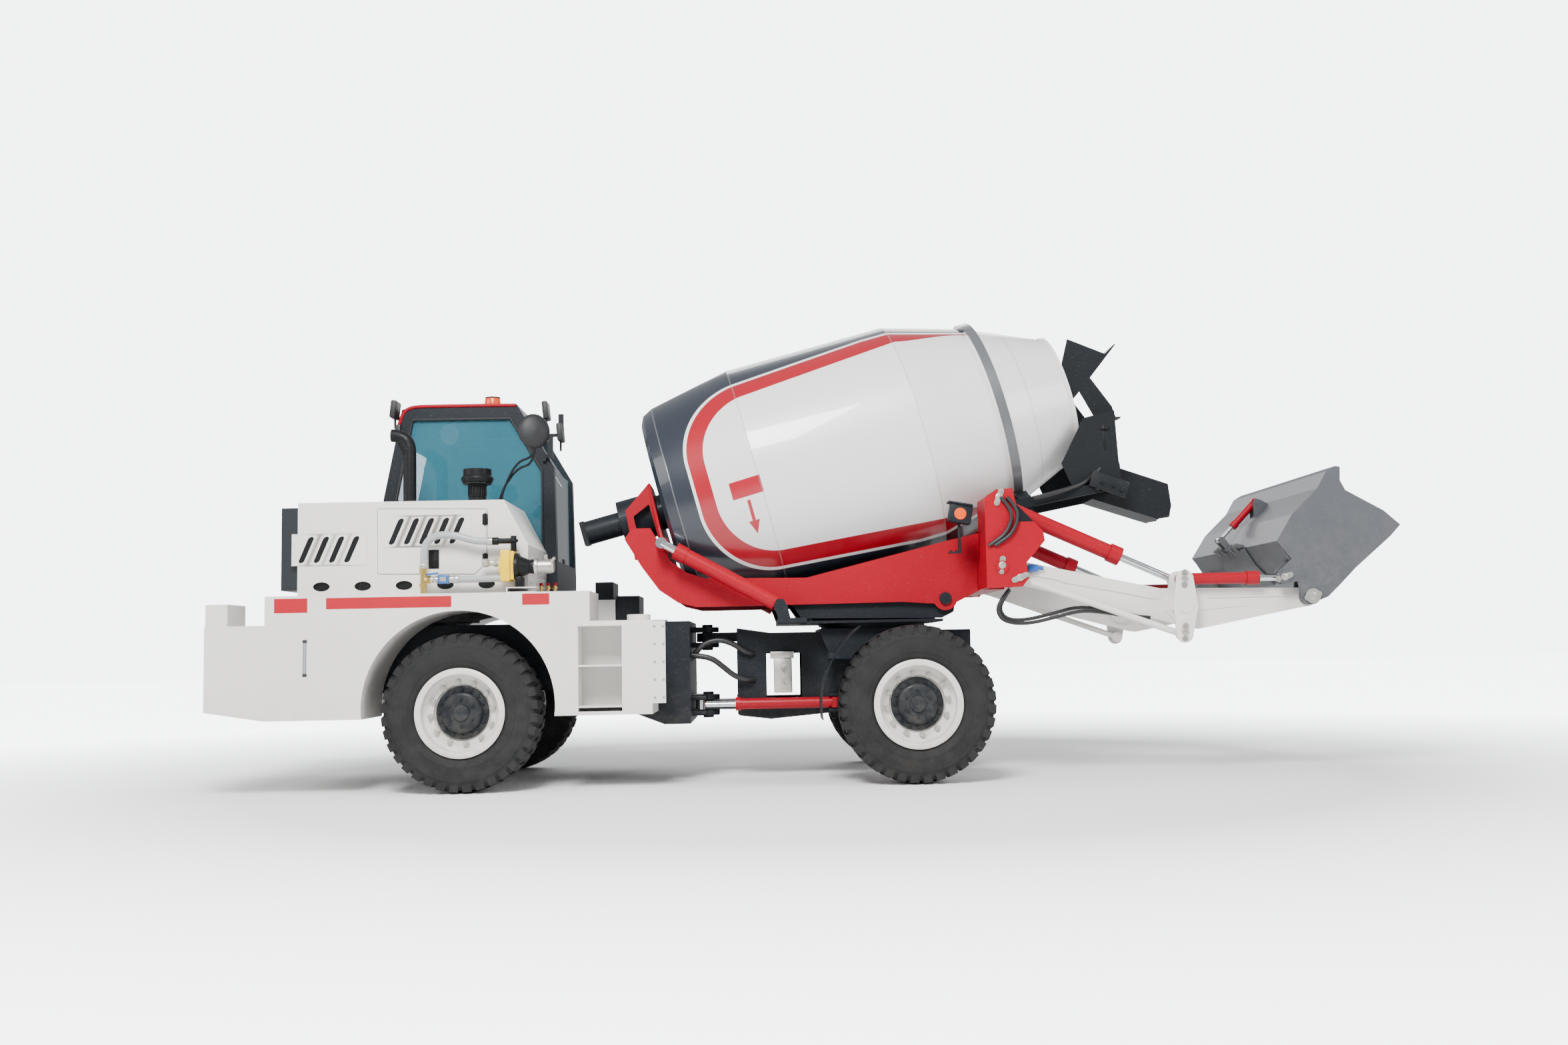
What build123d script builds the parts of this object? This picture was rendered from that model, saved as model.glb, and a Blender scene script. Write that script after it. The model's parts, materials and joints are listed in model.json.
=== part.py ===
from build123d import *
from math import cos, sin, radians, hypot
import os

# Self-loading concrete mixer, full size, in millimetres.
# X points forward to the bucket, Y to the left side, Z up; the ground is Z = 0.
# The origin is under the middle of the whole machine.
# Side outlines are written as (x, z) points and are pushed out along Y by the plate helper.

# Wheels
tyre_diameter = 1130
tyre_width = 400
wheel_track = 2000
rear_axle_x = -2500
front_axle_x = 740
rim_seat_radius = 287
flange_radius = 318

# Rear half
tank_side_y = 1220
tank_inner_y = 640
tank_top_z = 1410
tank_bottom_z = 535
rail_y = 585
articulation_x = -790

# Front half
slew_x = 507
slew_ring_z = 1140
slew_plate_y = 530
front_rail_y = 280
steering_y = 345

# Drum and its frame
drum_x = 522
drum_z = 2520
drum_slope = 15
drum_wall = 8
drum_plate_y = 575
tilt_pin = (1025, 1330)
drum_lift_base = (-221, 1293)
drum_lift_top = (-1095, 1772)
drum_lift_y = 760

# Loader linkage: pins as (x, z), then the middle of each layer along Y
arm_pin = (1387, 1535)
link_pin = (1518, 1453)
crank_low_pin = (2694, 1022)
crank_pin = (2707, 1230)
crank_top_pin = (2708, 1426)
lift_base_pin = (1378, 2032)
bucket_pin = (3634, 1283)
tilt_rod_pin = (3435, 1425)
arm_y = 905
outer_layer_y = 990
lift_y = 775
inner_plate_y = 859
outer_plate_y = 1046

# Bucket gate
gate_hinge = (3365, 1700)
gate_lever_pin = (3310, 1770)
gate_base_pin = (3600, 2070)

# Gaps: a moving pin's play and a seat's play
play = 0.4
seat = 0.3

axle_z = tyre_diameter / 2
tyre_y = wheel_track / 2


def plate(points, low, high, mode=Mode.ADD):
    """Push a side outline out along Y, from low to high."""
    with BuildSketch(Plane.XZ.offset(-high)) as outline:
        with BuildLine():
            Polyline(*points, close=True)
        make_face()
    extrude(outline.sketch, amount=high - low, mode=mode)


def plates(points, low, high, mode=Mode.ADD):
    """The same plate on both sides of the machine."""
    plate(points, low, high, mode)
    plate(points, -high, -low, mode)


def disc(centre, radius, low, high, mode=Mode.ADD):
    """A round bar or hole along Y."""
    with BuildSketch(Plane.XZ.offset(-high)) as outline:
        with Locations(centre):
            Circle(radius)
    extrude(outline.sketch, amount=high - low, mode=mode)


def discs(centre, radius, low, high, mode=Mode.ADD):
    """The same round bar or hole on both sides."""
    disc(centre, radius, low, high, mode)
    disc(centre, radius, -high, -low, mode)


def along(start, end, distance):
    """A point at a distance from start towards end."""
    length = hypot(end[0] - start[0], end[1] - start[1])
    part = distance / length
    return (start[0] + (end[0] - start[0]) * part, start[1] + (end[1] - start[1]) * part)


def bar(start, end, y, radius, mode=Mode.ADD):
    """A round bar between two side points at one Y."""
    direction = Vector(end[0] - start[0], 0, end[1] - start[1])
    with BuildSketch(Plane(origin=(start[0], y, start[1]), z_dir=direction)) as section:
        Circle(radius)
    extrude(section.sketch, amount=direction.length, mode=mode)


def block(x, y, z, mode=Mode.ADD):
    """A box from three (low, high) pairs."""
    with Locations(((x[0] + x[1]) / 2, (y[0] + y[1]) / 2, (z[0] + z[1]) / 2)):
        Box(x[1] - x[0], y[1] - y[0], z[1] - z[0], mode=mode)


def blocks(x, y, z, mode=Mode.ADD):
    """The same box on both sides."""
    block(x, y, z, mode)
    block(x, (-y[1], -y[0]), z, mode)


def keep(piece, name):
    """Label a finished piece and write it out."""
    piece.part.label = name
    export_step(piece.part, f"parts/{name}.step")


os.makedirs("parts", exist_ok=True)

# Wheels: a tyre and a rim at each corner
wheels = [
    # name, axle x, side
    ("rear_right", rear_axle_x, -1),
    ("rear_left", rear_axle_x, 1),
    ("front_right", front_axle_x, -1),
    ("front_left", front_axle_x, 1),
]


def make_tyre(name, x, side):
    half = tyre_width / 2
    radius = tyre_diameter / 2
    bead = rim_seat_radius + seat
    with BuildPart() as tyre:
        with BuildSketch(Plane(origin=(x, side * tyre_y, axle_z), x_dir=(0, side, 0), z_dir=(side, 0, 0))):
            with BuildLine():
                Polyline(
                    (-half + 45, bead), (half - 45, bead), (half, bead + 72), (half, radius - 65),
                    (half - 50, radius), (-half + 50, radius), (-half, radius - 65), (-half, bead + 72),
                    close=True,
                )
            make_face()
        revolve(axis=Axis((x, side * tyre_y, axle_z), (0, 1, 0)))
    keep(tyre, f"tyre_{name}")


def make_rim(name, x, side):
    half = tyre_width / 2
    with BuildPart() as rim:
        with BuildSketch(Plane(origin=(x, side * tyre_y, axle_z), x_dir=(0, side, 0), z_dir=(side, 0, 0))):
            with BuildLine():
                Polyline(
                    (-half + 43, rim_seat_radius), (-half + 23, flange_radius), (-half + 10, flange_radius),
                    (-half + 10, rim_seat_radius - 15), (half - 10, rim_seat_radius - 15),
                    (half - 10, flange_radius),
                    (half - 23, flange_radius), (half - 43, rim_seat_radius), close=True,
                )
            make_face()
            with BuildLine():
                Polyline(
                    (30, 0), (64, 0), (64, 195), (90, 205), (90, 240), (115, rim_seat_radius - 15),
                    (95, rim_seat_radius - 15), (72, 240), (72, 215), (30, 205), close=True,
                )
            make_face()
        revolve(axis=Axis((x, side * tyre_y, axle_z), (0, 1, 0)))
    keep(rim, f"rim_{name}")


def make_wheels():
    for name, x, side in wheels:
        make_tyre(name, x, side)
        make_rim(name, x, side)


# Rear half: chassis, tanks, counterweight, engine, hood and cab
def make_rear_chassis():
    rail = [(-3862, 700), (-3862, 1184), (-904, 1184), (-904, 430), (-1098, 430), (-1435, 560),
        (-1900, 700)]
    with BuildPart() as chassis:
        plates(rail, rail_y - 25, rail_y)
        block((-3862, -3842), (-rail_y, rail_y), (700, 1184))
        for x in (-3350, -2650):
            block((x - 40, x + 40), (-rail_y + 10, rail_y - 10), (720, 800))
        block((-2360, -2260), (-rail_y, rail_y), (900, 980))
        block((-1435, -904), (-rail_y, rail_y), (560, 585))
        block((-924, -904), (-rail_y, rail_y), (430, 1184))
        block((-3862, -904), (-rail_y, rail_y), (1184, 1196))
        # The gap above the engine is left open in the deck
        block((-3450, -2500), (-540, -120), (1180, 1200), Mode.SUBTRACT)
        # Fork plates of the articulation, in two pairs
        for z in (470, 590, 995, 1115):
            with BuildSketch(Plane.XY.offset(z)) as fork:
                with Locations((articulation_x, 0)):
                    Circle(90)
                with BuildLine():
                    Polyline((-915, -190), (articulation_x, -90), (articulation_x, 90), (-915, 190),
                        close=True)
                make_face()
            extrude(fork.sketch, amount=40)
        for z in (450, 975):
            with BuildSketch(Plane.XY.offset(z)) as pin:
                with Locations((articulation_x, 0)):
                    Circle(42)
            extrude(pin.sketch, amount=200)
        # Brackets for the steering rods' eyes
        for y in (-steering_y, steering_y):
            for z in (495, 605):
                block((-915, -795), (y - 45, y + 45), (z, z + 20))
        # Rear axle with its middle housing, hung by two brackets
        discs((rear_axle_x, axle_z), 75, 150, tyre_y + 30 - play)
        disc((rear_axle_x, axle_z), 190, -160, 160)
        blocks((rear_axle_x - 70, rear_axle_x + 70), (430, 560), (axle_z, 720))
        blocks((rear_axle_x - 70, rear_axle_x + 70), (430, 565), (700, 760))
    keep(chassis, "rear_chassis")


def make_side_tank(name, side):
    low = tank_inner_y if side > 0 else -tank_side_y
    high = tank_side_y if side > 0 else -tank_inner_y
    outline = [
        (-3862, tank_bottom_z), (-3862, tank_top_z), (-1578, tank_top_z), (-1578, 1197),
        (-1140, 1197), (-1140, tank_bottom_z),
    ]
    with BuildPart() as tank:
        plate(outline, low, high)
        disc((rear_axle_x - 5, 607), 680, low - 1, high + 1, Mode.SUBTRACT)
        block((-1662, -1353), tuple(sorted((side * 930, side * (tank_side_y + 1)))), (560, 1160),
            Mode.SUBTRACT)
        for z in (593, 880):
            block((-1662, -1353), tuple(sorted((side * 930, side * (tank_side_y - 5)))), (z - 6, z + 6))
        # The flange plate at the front face
        block((-1141, -1046), tuple(sorted((side * 1190, side * tank_side_y))), (610, 1190))
        # Filler cap on the low step of the tank
        with Locations((-1250, side * 980, 1197 + 22)):
            Cylinder(85, 44)
        # Web plates that tie the tank to the rail
        for x in (-3700, -1500):
            block((x - 8, x + 8), tuple(sorted((side * (rail_y + seat), side * (tank_inner_y + 1)))),
                (800, 1150))
    keep(tank, f"side_tank_{name}")


def make_counterweight():
    front = -3862 - seat
    with BuildPart() as weight:
        plate([(-4283, 603), (-4283, 1205), (front, 1205), (front, 535)], -tank_side_y, tank_side_y)
        blocks((-4303, -4148), (780, 1150), (1205, 1362))
        for y in (-430, 430):
            block((-4120, -4040), (y - 12, y + 12), (1205, 1290))
            disc((-4080, 1255), 18, y - 13, y + 13, Mode.SUBTRACT)
    keep(weight, "counterweight")


def make_engine():
    with BuildPart() as engine:
        block((-3400, -2560), (-510, -150), (800 + seat, 1190))
        block((-3400, -2560), (-560, -120), (1220, 1800))
        block((-3300, -2660), (-500, -160), (1190, 1220))
    keep(engine, "engine")


def make_hood():
    outer = [(-3703, tank_top_z + seat), (-3703, 2092), (-2217, 2092), (-2044, 1762),
        (-2044, tank_top_z + seat)]
    inner = [(-3697, tank_top_z - 9), (-3697, 2086), (-2221, 2086), (-2050, 1760), (-2050, tank_top_z - 9)]
    with BuildPart() as hood:
        plate(outer, -1000, -70)
        plate(inner, -994, -76, Mode.SUBTRACT)
        # Rear grille cover
        block((-3833, -3703), (-960, -110), (1460, 2060))
        block((-3827, -3690), (-954, -116), (1466, 2054), Mode.SUBTRACT)
        for row in range(9):
            block((-3840, -3826), (-900, -170), (1510 + row * 60, 1535 + row * 60), Mode.SUBTRACT)
        # Raised service panel, slanted slots and a row of oval holes in the near side
        plate([(-3127, 2038), (-2342, 2024), (-2343, 1640), (-2430, 1556), (-3124, 1569)], -1004, -999)
        for first_x, z, count in ((-2992, 1872, 5), (-3640, 1750, 4)):
            for place in range(count):
                x = first_x + place * 109
                slot = [(x, z + 100), (x + 45, z + 100), (x + 85, z - 100), (x + 40, z - 100)]
                plate(slot, -1005, -990, Mode.SUBTRACT)
        for place in range(5):
            with BuildSketch(Plane.XZ.offset(1001)) as hole:
                with Locations((-3531 + place * 297, 1482)):
                    Ellipse(60, 33)
            extrude(hole.sketch, amount=-12, mode=Mode.SUBTRACT)
        # Diamond holes in the upright front panel
        for row in range(5):
            for column in range(12):
                with BuildSketch(Plane.YZ.offset(-2060)) as hole:
                    with Locations((-900 + column * 66, 1490 + row * 52)):
                        Rectangle(24, 24, rotation=45)
                extrude(hole.sketch, amount=30, mode=Mode.SUBTRACT)
    keep(hood, "hood")


def make_exhaust():
    with BuildPart() as exhaust:
        with BuildSketch(Plane.XY.offset(2092 + seat)) as pipe:
            with Locations((-2992, -600)):
                Circle(45)
        extrude(pipe.sketch, amount=400)
        bar((-2992, 2470), (-3050, 2600), -600, 45)
        with BuildSketch(Plane.XY.offset(2092 + seat)) as neck:
            with Locations((-2486, -600)):
                Circle(50)
        extrude(neck.sketch, amount=170)
        with BuildSketch(Plane.XY.offset(2250)) as cap:
            with Locations((-2486, -600)):
                Circle(105)
        extrude(cap.sketch, amount=115)
        block((-2992, -2486), (-612, -588), (2092 + seat, 2104))
    keep(exhaust, "exhaust_and_air_cap")


cab_outer = [
    (-3331, 1425), (-3331, 2202), (-3187, 2923), (-3071, 2955), (-2279, 2955), (-1985, 2449),
    (-1964, 1618), (-1964, 1425),
]
cab_inner = [
    (-3286, 1465), (-3286, 2198), (-3148, 2886), (-3067, 2910), (-2303, 2910), (-2030, 2438),
    (-2009, 1617), (-2009, 1465),
]
cab_right_y = -50
cab_left_y = 1150
cab_side_window = [(-3230, 1800), (-3230, 2190), (-3105, 2840), (-2330, 2840), (-2080, 2420), (-2075, 1800)]
door_hinge = (-3050, cab_left_y + 18)
cab_door_outline = [(-3060, 1500), (-3060, 2850), (-2330, 2850), (-2080, 2420), (-2075, 1500)]
cab_door_window = [(-2990, 1850), (-2990, 2780), (-2370, 2780), (-2140, 2400), (-2138, 1850)]


def shrink(points, gap):
    """The same outline with every side moved in by a gap."""
    with BuildSketch() as outline:
        with BuildLine():
            Polyline(*points, close=True)
        make_face()
        offset(amount=-gap, kind=Kind.INTERSECTION, mode=Mode.REPLACE)
    return outline.sketch


def pane(points, gap, low, high):
    """A pane that fills a side opening but for the gap."""
    face = Plane.XZ.offset(-high) * shrink(points, gap)
    extrude(face, amount=high - low)


def make_cab():
    with BuildPart() as cab:
        plate(cab_outer, cab_right_y, cab_left_y)
        plate(cab_inner, cab_right_y + 45, cab_left_y - 45, Mode.SUBTRACT)
        plate(cab_side_window, cab_right_y - 1, cab_right_y + 50, Mode.SUBTRACT)
        plate(cab_door_outline, cab_left_y - 50, cab_left_y + 1, Mode.SUBTRACT)
        # Windscreen in two panels, rear window
        plate([(-2297, 2840), (-2200, 2840), (-1900, 2455), (-1900, 1700), (-2040, 1700), (-2030, 2438)],
              cab_right_y + 80, cab_left_y - 80, Mode.SUBTRACT)
        plate([(-3400, 2230), (-3270, 2230), (-3165, 2820), (-3400, 2820)],
              cab_right_y + 120, cab_left_y - 120, Mode.SUBTRACT)
        # Hinge lugs for the door
        for z in (1580, 1690.3, 2680, 2790.3):
            with Locations((door_hinge[0], door_hinge[1], z + 9.7)):
                Cylinder(14, 19.4)
            block((-3110, -3050), (cab_left_y - 2, door_hinge[1] + 12), (z, z + 19.4))
        # Feet on the deck and the beacon on the roof
        for x in (-3200, -2100):
            block((x - 60, x + 60), (60, 180), (1196 + seat, 1430))
            block((x - 60, x + 60), (440, 560), (1196 + seat, 1430))
        with Locations((-2549, 400, 3022)):
            Cylinder(62, 134)
        # Mirrors on bent arms
        for x, y, z in ((-2008, -75, 2600), (-1930, -30, 2780)):
            block((x - 20, x + 20), (y - 12, y + 12), (z - 90, z + 90))
        bar((-2060, 2500), (-2008, 2560), -70, 12)
        block((-2070, -2045), (-82, -45), (2490, 2515))
        block((-2160, -1910), (-42, -18), (2690, 2714))
    keep(cab, "cab_shell")


def make_cab_glass():
    with BuildPart() as glass:
        pane(cab_side_window, seat, cab_right_y + 18, cab_right_y + 24)
        low = cab_right_y + 80 + seat
        high = cab_left_y - 80 - seat
        plate([(-2257, 2840 - seat), (-2250, 2840 - seat), (-2003, 2445), (-1990, 1700 + seat),
               (-1996, 1700 + seat), (-2009, 2443)], low, high)
        plate([(-3308, 2230 + seat), (-3302, 2230 + seat), (-3184, 2820 - seat), (-3190, 2820 - seat)],
              cab_right_y + 120 + seat, cab_left_y - 120 - seat)
    keep(glass, "cab_glass")


def make_cab_inside():
    with BuildPart() as inside:
        block((-2950, -2450), (300, 820), (1465 + seat, 1640))
        block((-2960, -2430), (300, 820), (1640, 1760))
        plate([(-3040, 1700), (-3120, 2330), (-3030, 2330), (-2920, 1700)], 310, 810)
        block((-2260, -2080), (120, 980), (1465 + seat, 1560))
        plate([(-2180, 1560), (-2080, 1560), (-2080, 2050), (-2200, 2050)], 300, 820)
        bar((-2190, 1900), (-2330, 2080), 560, 28)
        with BuildSketch(Plane(origin=(-2330, 560, 2080), z_dir=(-0.61, 0, 0.79))) as wheel:
            Circle(205)
            Circle(180, mode=Mode.SUBTRACT)
            Rectangle(370, 30)
            Rectangle(30, 370)
        extrude(wheel.sketch, amount=24)
        blocks_y = ((220, 260), (860, 900))
        for low, high in blocks_y:
            block((-2800, -2500), (low, high), (1465 + seat, 1840))
            bar((-2560, 1830), (-2500, 2010), (low + high) / 2, 14)
    keep(inside, "cab_inside")


def make_cab_door():
    with BuildPart() as door:
        face = Plane.XZ.offset(-(cab_left_y - 3)) * shrink(cab_door_outline, 5)
        extrude(face, amount=34)
        plate(cab_door_window, cab_left_y - 60, cab_left_y + 10, Mode.SUBTRACT)
        plate([(-2991, 1849), (-2991, 2781), (-2369, 2781), (-2138, 2401),
            (-2136, 1849)], cab_left_y - 23, cab_left_y - 17)
        for z in (1600, 2700):
            block((-3045, -2990), (cab_left_y - 10, cab_left_y + 18), (z, z + 90))
            with Locations((door_hinge[0], door_hinge[1], z + 45)):
                Cylinder(14, 90)
        block((-2128, -2100), (cab_left_y - 10, cab_left_y + 30), (1950, 2090))
    keep(door, "cab_door")


def make_pump_set():
    floor = tank_top_z + seat
    with BuildPart() as pump:
        block((-2010, -1640), (-1060, -760), (floor, floor + 40))
        block((-1960, -1900), (-1000, -820), (floor + 40, floor + 170))
        bar((-1990, 1560), (-1860, 1560), -910, 95)
        bar((-1860, 1560), (-1760, 1560), -910, 55)
        bar((-1760, 1560), (-1620, 1560), -910, 75)
        block((-1780, -1740), (-1000, -820), (floor + 40, floor + 170))
    keep(pump, "pump_set")


def make_deck_tank():
    with BuildPart() as boxes:
        block((-1750, -1600), (700, 1150), (tank_top_z + seat, 1560))
        block((-1570, -1380), (660, 1150), (1197 + seat, 1440))
    keep(boxes, "deck_boxes")


# Front half: chassis with its axle, slew bearing and steering cylinders
steer_z = 562
steer_front = (200, steer_z)
steer_rear = (-835, steer_z)
steer_mouth_x = -570
steer_piston_x = -100
steer_bore_end_x = 125


def make_front_chassis():
    rail = [(-545, 470), (-545, 1138), (-300, 1100), (1250, 1100), (1250, 800), (1100, 560), (-300, 440)]
    top = slew_ring_z - 40
    with BuildPart() as chassis:
        plates(rail, front_rail_y - 20, front_rail_y)
        block((-556, -536), (-front_rail_y, front_rail_y), (478, 1138))
        block((1230, 1250), (-front_rail_y, front_rail_y), (800, 1100))
        floor = [(-545, 470), (-300, 440), (1100, 560), (1100, 578), (-300, 456), (-545, 486)]
        plate(floor, -front_rail_y, front_rail_y)
        block((77, 938), (-430, 430), (top, slew_ring_z - 20))
        with Locations((slew_x, 0, slew_ring_z - 10 - play)):
            Cylinder(400, 20)
        plates([(77, 1100), (160, 900), (860, 900), (938, 1100)], 400, 430)
        plates([(150, 905), (860, 905), (860, 890), (150, 890)], front_rail_y - 1, 430)
        # Valve window in each rail
        plates([(-330, 600), (-330, 940), (-60, 940),
            (-60, 600)], front_rail_y - 30, front_rail_y + 5, Mode.SUBTRACT)
        # Articulation tongues between the rear forks' plates
        for z in (515, 1040):
            with BuildSketch(Plane.XY.offset(z)) as tongue:
                with Locations((articulation_x, 0)):
                    Circle(85)
                with BuildLine():
                    Polyline((-540, -170), (articulation_x, -85), (articulation_x, 85), (-540, 170),
                        close=True)
                make_face()
                with Locations((articulation_x, 0)):
                    Circle(42 + play, mode=Mode.SUBTRACT)
            extrude(tongue.sketch, amount=70)
        # Front axle
        discs((front_axle_x, axle_z), 75, 150, tyre_y + 30 - play)
        disc((front_axle_x, axle_z), 190, -160, 160)
        blocks((front_axle_x - 90, front_axle_x + 90), (180, 270), (axle_z, 700))
        # Clevis plates for the steering barrels
        for y in (-steering_y, steering_y):
            inner = -front_rail_y + 5 if y < 0 else front_rail_y - 5
            outer = -steering_y - 45 if y < 0 else steering_y + 45
            for z in (495, 609):
                block((140, 260), tuple(sorted((inner, outer))), (z, z + 20))
            with Locations((steer_front[0], y, steer_z)):
                Cylinder(20, 110)
        # Mudguards behind the front tyres
        for start in (1190, -810):
            with BuildSketch(Plane.XZ.offset(-start)) as guard:
                with Locations((front_axle_x, axle_z)):
                    Circle(690)
                    Circle(684, mode=Mode.SUBTRACT)
                with Locations((front_axle_x + 650, axle_z)):
                    Rectangle(1600, 1500, mode=Mode.SUBTRACT)
                with Locations((front_axle_x - 600, axle_z - 500)):
                    Rectangle(1000, 800, mode=Mode.SUBTRACT)
                with Locations((front_axle_x, axle_z + 960)):
                    Rectangle(1600, 800, mode=Mode.SUBTRACT)
            extrude(guard.sketch, amount=380)
        blocks((120, 175), (425, 1180), (900, 940))
    keep(chassis, "front_chassis")


def make_steering():
    for name, y in (("right", -steering_y), ("left", steering_y)):
        with BuildPart() as barrel:
            bar((steer_front[0] - 30, steer_z), (steer_mouth_x + 5, steer_z), y, 42)
            bar((steer_mouth_x + 40, steer_z), (steer_mouth_x, steer_z), y, 52)
            with Locations((steer_front[0], y, steer_z)):
                Cylinder(48, 80)
                Cylinder(20 + play, 90, mode=Mode.SUBTRACT)
            bar((steer_mouth_x - 5, steer_z), (steer_bore_end_x, steer_z), y, 22.5, Mode.SUBTRACT)
        keep(barrel, f"steering_barrel_{name}")
        with BuildPart() as rod:
            bar(steer_rear, (steer_piston_x, steer_z), y, 22)
            with Locations((steer_rear[0], y, steer_z)):
                Cylinder(40, 70)
        keep(rod, f"steering_rod_{name}")


def make_slew_frame():
    side = [
        (-60, 1200), (-170, 1362), (-33, 1405), (411, 1402), (644, 1448), (907, 1473), (1060, 1420),
        (1110, 1330),
        (1090, 1230), (1000, 1185),
    ]
    base = slew_ring_z
    with BuildPart() as frame:
        with Locations((slew_x, 0, base + 10)):
            Cylinder(420, 20)
        block((77, 1010), (-slew_plate_y - 15, slew_plate_y + 15), (base + 20, base + 40))
        block((-60, 80), (-slew_plate_y - 15, slew_plate_y + 15), (base + 20, base + 40))
        plates(side, slew_plate_y - 15, slew_plate_y + 15)
        block((930, 950), (-slew_plate_y, slew_plate_y), (base + 40, 1300))
        block((0, 20), (-slew_plate_y, slew_plate_y), (base + 40, 1250))
        # Cross beam and ears for the two drum lifting cylinders
        low = drum_lift_y - 60
        high = drum_lift_y + 60
        block((-240, -30), (-high - 18, high + 18), (base + 25, base + 60))
        for inner, outer in ((low - 18, low), (high, high + 18)):
            ear = [(-240, base + 60), (-271, 1293), (-240, 1340), (-200, 1340), (-171, 1293),
                (-150, base + 60)]
            plates(ear, inner, outer)
        discs(drum_lift_base, 28, low - 20, high + 20)
        # Tilt pins carried outside the side plates
        discs(tilt_pin, 45, slew_plate_y, drum_plate_y + 35)
    keep(frame, "slew_frame")


# Drum frame with its head, the drum, its gearbox and the hopper
slope_cos = cos(radians(drum_slope))
slope_sin = sin(radians(drum_slope))


def drum_point(t, v):
    """A side point at t along the drum's axis and v square to it, upwards."""
    return (drum_x + t * slope_cos - v * slope_sin, drum_z + t * slope_sin + v * slope_cos)


def drum_plane(t, y=0, v=0):
    """A plane square to the drum's axis, its Y pointing up."""
    x, z = drum_point(t, v)
    return Plane(origin=(x, y, z), x_dir=(0, 1, 0), z_dir=(slope_cos, 0, slope_sin))


ring_radius = 790
roller_radius = 100
roller_y = 473
roller_v = -((ring_radius + roller_radius + 3) ** 2 - roller_y ** 2) ** 0.5


def make_drum_frame():
    rail = [
        (-1255, 1604), (-1126, 1429), (-985, 1333), (-849, 1299), (-443, 1300), (700, 1309),
        (960, 1290), (1025, 1270), (1090, 1290), (1284, 1385), (1300, 1385), (1300, 1820), (1075, 1771),
        (-18, 1505),
        (-780, 1514), (-921, 1560), drum_point(-1736, -436), drum_point(-1814, -156),
        drum_point(-1949, -120), drum_point(-2023, -183),
    ]
    cheek = [
        (1270, 1385), (1284, 2041), (1354, 2099), (1472, 2106), (1500, 1990), (1690, 1790), (1701, 1720),
        (1560, 1560), (1578, 1453), (1530, 1390), (1400, 1385),
    ]
    inner_cheek = [(1270, 1385), (1284, 2041), (1354, 2099), (1440, 2080), (1452, 1985), (1452, 1700),
        (1500, 1560),
                   (1470, 1420), (1400, 1385)]
    with BuildPart() as frame:
        plates(rail, drum_plate_y - 15, drum_plate_y + 15)
        discs(tilt_pin, 90, drum_plate_y - 15, drum_plate_y + 15)
        discs(tilt_pin, 45 + play, drum_plate_y - 20, drum_plate_y + 20, Mode.SUBTRACT)
        # Head: a cross box below the drum and two pairs of cheeks
        block((1270, 1290), (-outer_plate_y - 10, outer_plate_y + 10), (1385, 1560))
        block((1284, 1452), (-710, 710), (1385, 1620))
        block((1300, 1436), (-694, 694), (1401, 1604), Mode.SUBTRACT)
        plates([(1270, 1540), (1270, 2041), (1290, 2041), (1290, 1540)], 700, outer_plate_y + 10)
        plates(inner_cheek, 695, 715)
        plates(inner_cheek, inner_plate_y - 9, inner_plate_y + 9)
        plates(cheek, outer_plate_y - 10, outer_plate_y + 10)
        discs(arm_pin, 45, inner_plate_y - 15, outer_plate_y + 18)
        discs(lift_base_pin, 38, 690, inner_plate_y + 18)
        discs(link_pin, 25, outer_layer_y - 35, outer_plate_y + 15)
        # Pins of the two drum lifting cylinders
        discs(drum_lift_top, 50, drum_plate_y, drum_lift_y - 50)
        # Pedestal that carries the gearbox behind the drum
        with BuildSketch(drum_plane(-1760)) as pedestal:
            with BuildLine():
                Polyline((-590, -420), (590, -420), (560, -170), (230, 220), (-230, 220), (-560, -170),
                    close=True)
            make_face()
            Circle(150, mode=Mode.SUBTRACT)
        extrude(pedestal.sketch, amount=20)
        plates([drum_point(-1760, 210), drum_point(-1980, 60), drum_point(-2010, -330),
            drum_point(-1760, -400)], 240, 258)
        plates([drum_point(-1790, 60), drum_point(-1930, 0), drum_point(-1940, -230),
            drum_point(-1790, -300)],
               230, 270, Mode.SUBTRACT)
        # Brackets with the two rollers that carry the drum's ring
        plates([(1300, 1560), (1452, 1480), drum_point(1060, -1000), drum_point(1050, -868),
            drum_point(900, -868),
                (1300, 1700)], roller_y - 33, roller_y + 33)
        for start in (912, 1024):
            with BuildSketch(drum_plane(start)) as bracket:
                with Locations((-roller_y, -800), (roller_y, -800)):
                    Rectangle(110, 190)
            extrude(bracket.sketch, amount=14)
        for start, end, radius in ((905, 1045, 24), (932, 1018, roller_radius)):
            with BuildSketch(drum_plane(start)) as roller:
                with Locations((-roller_y, roller_v), (roller_y, roller_v)):
                    Circle(radius)
            extrude(roller.sketch, amount=end - start)
        # Side beams out to the hopper
        plates([(1430, 1960), (1430, 2040), drum_point(1746.7, -779.6),
            drum_point(1728.8, -846.2)], 560, 590)
        blocks((1290, 1450), (560, 700), (1600, 2040))
    keep(frame, "drum_frame")


def make_gearbox():
    with BuildPart() as gearbox:
        for start, end, radius in ((-1695 - play, -1740, 140), (-1760 - seat, -1800, 200),
            (-1800, -2050, 175), (-2050, -2330, 95)):
            with BuildSketch(drum_plane(start)) as section:
                Circle(radius)
            extrude(section.sketch, amount=end - start)
        with BuildSketch(drum_plane(-1740)) as neck:
            Circle(140)
        extrude(neck.sketch, amount=-25)
        with BuildSketch(drum_plane(-2330)) as cap:
            Rectangle(150, 190)
        extrude(cap.sketch, amount=-40)
    keep(gearbox, "drum_gearbox")


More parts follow.
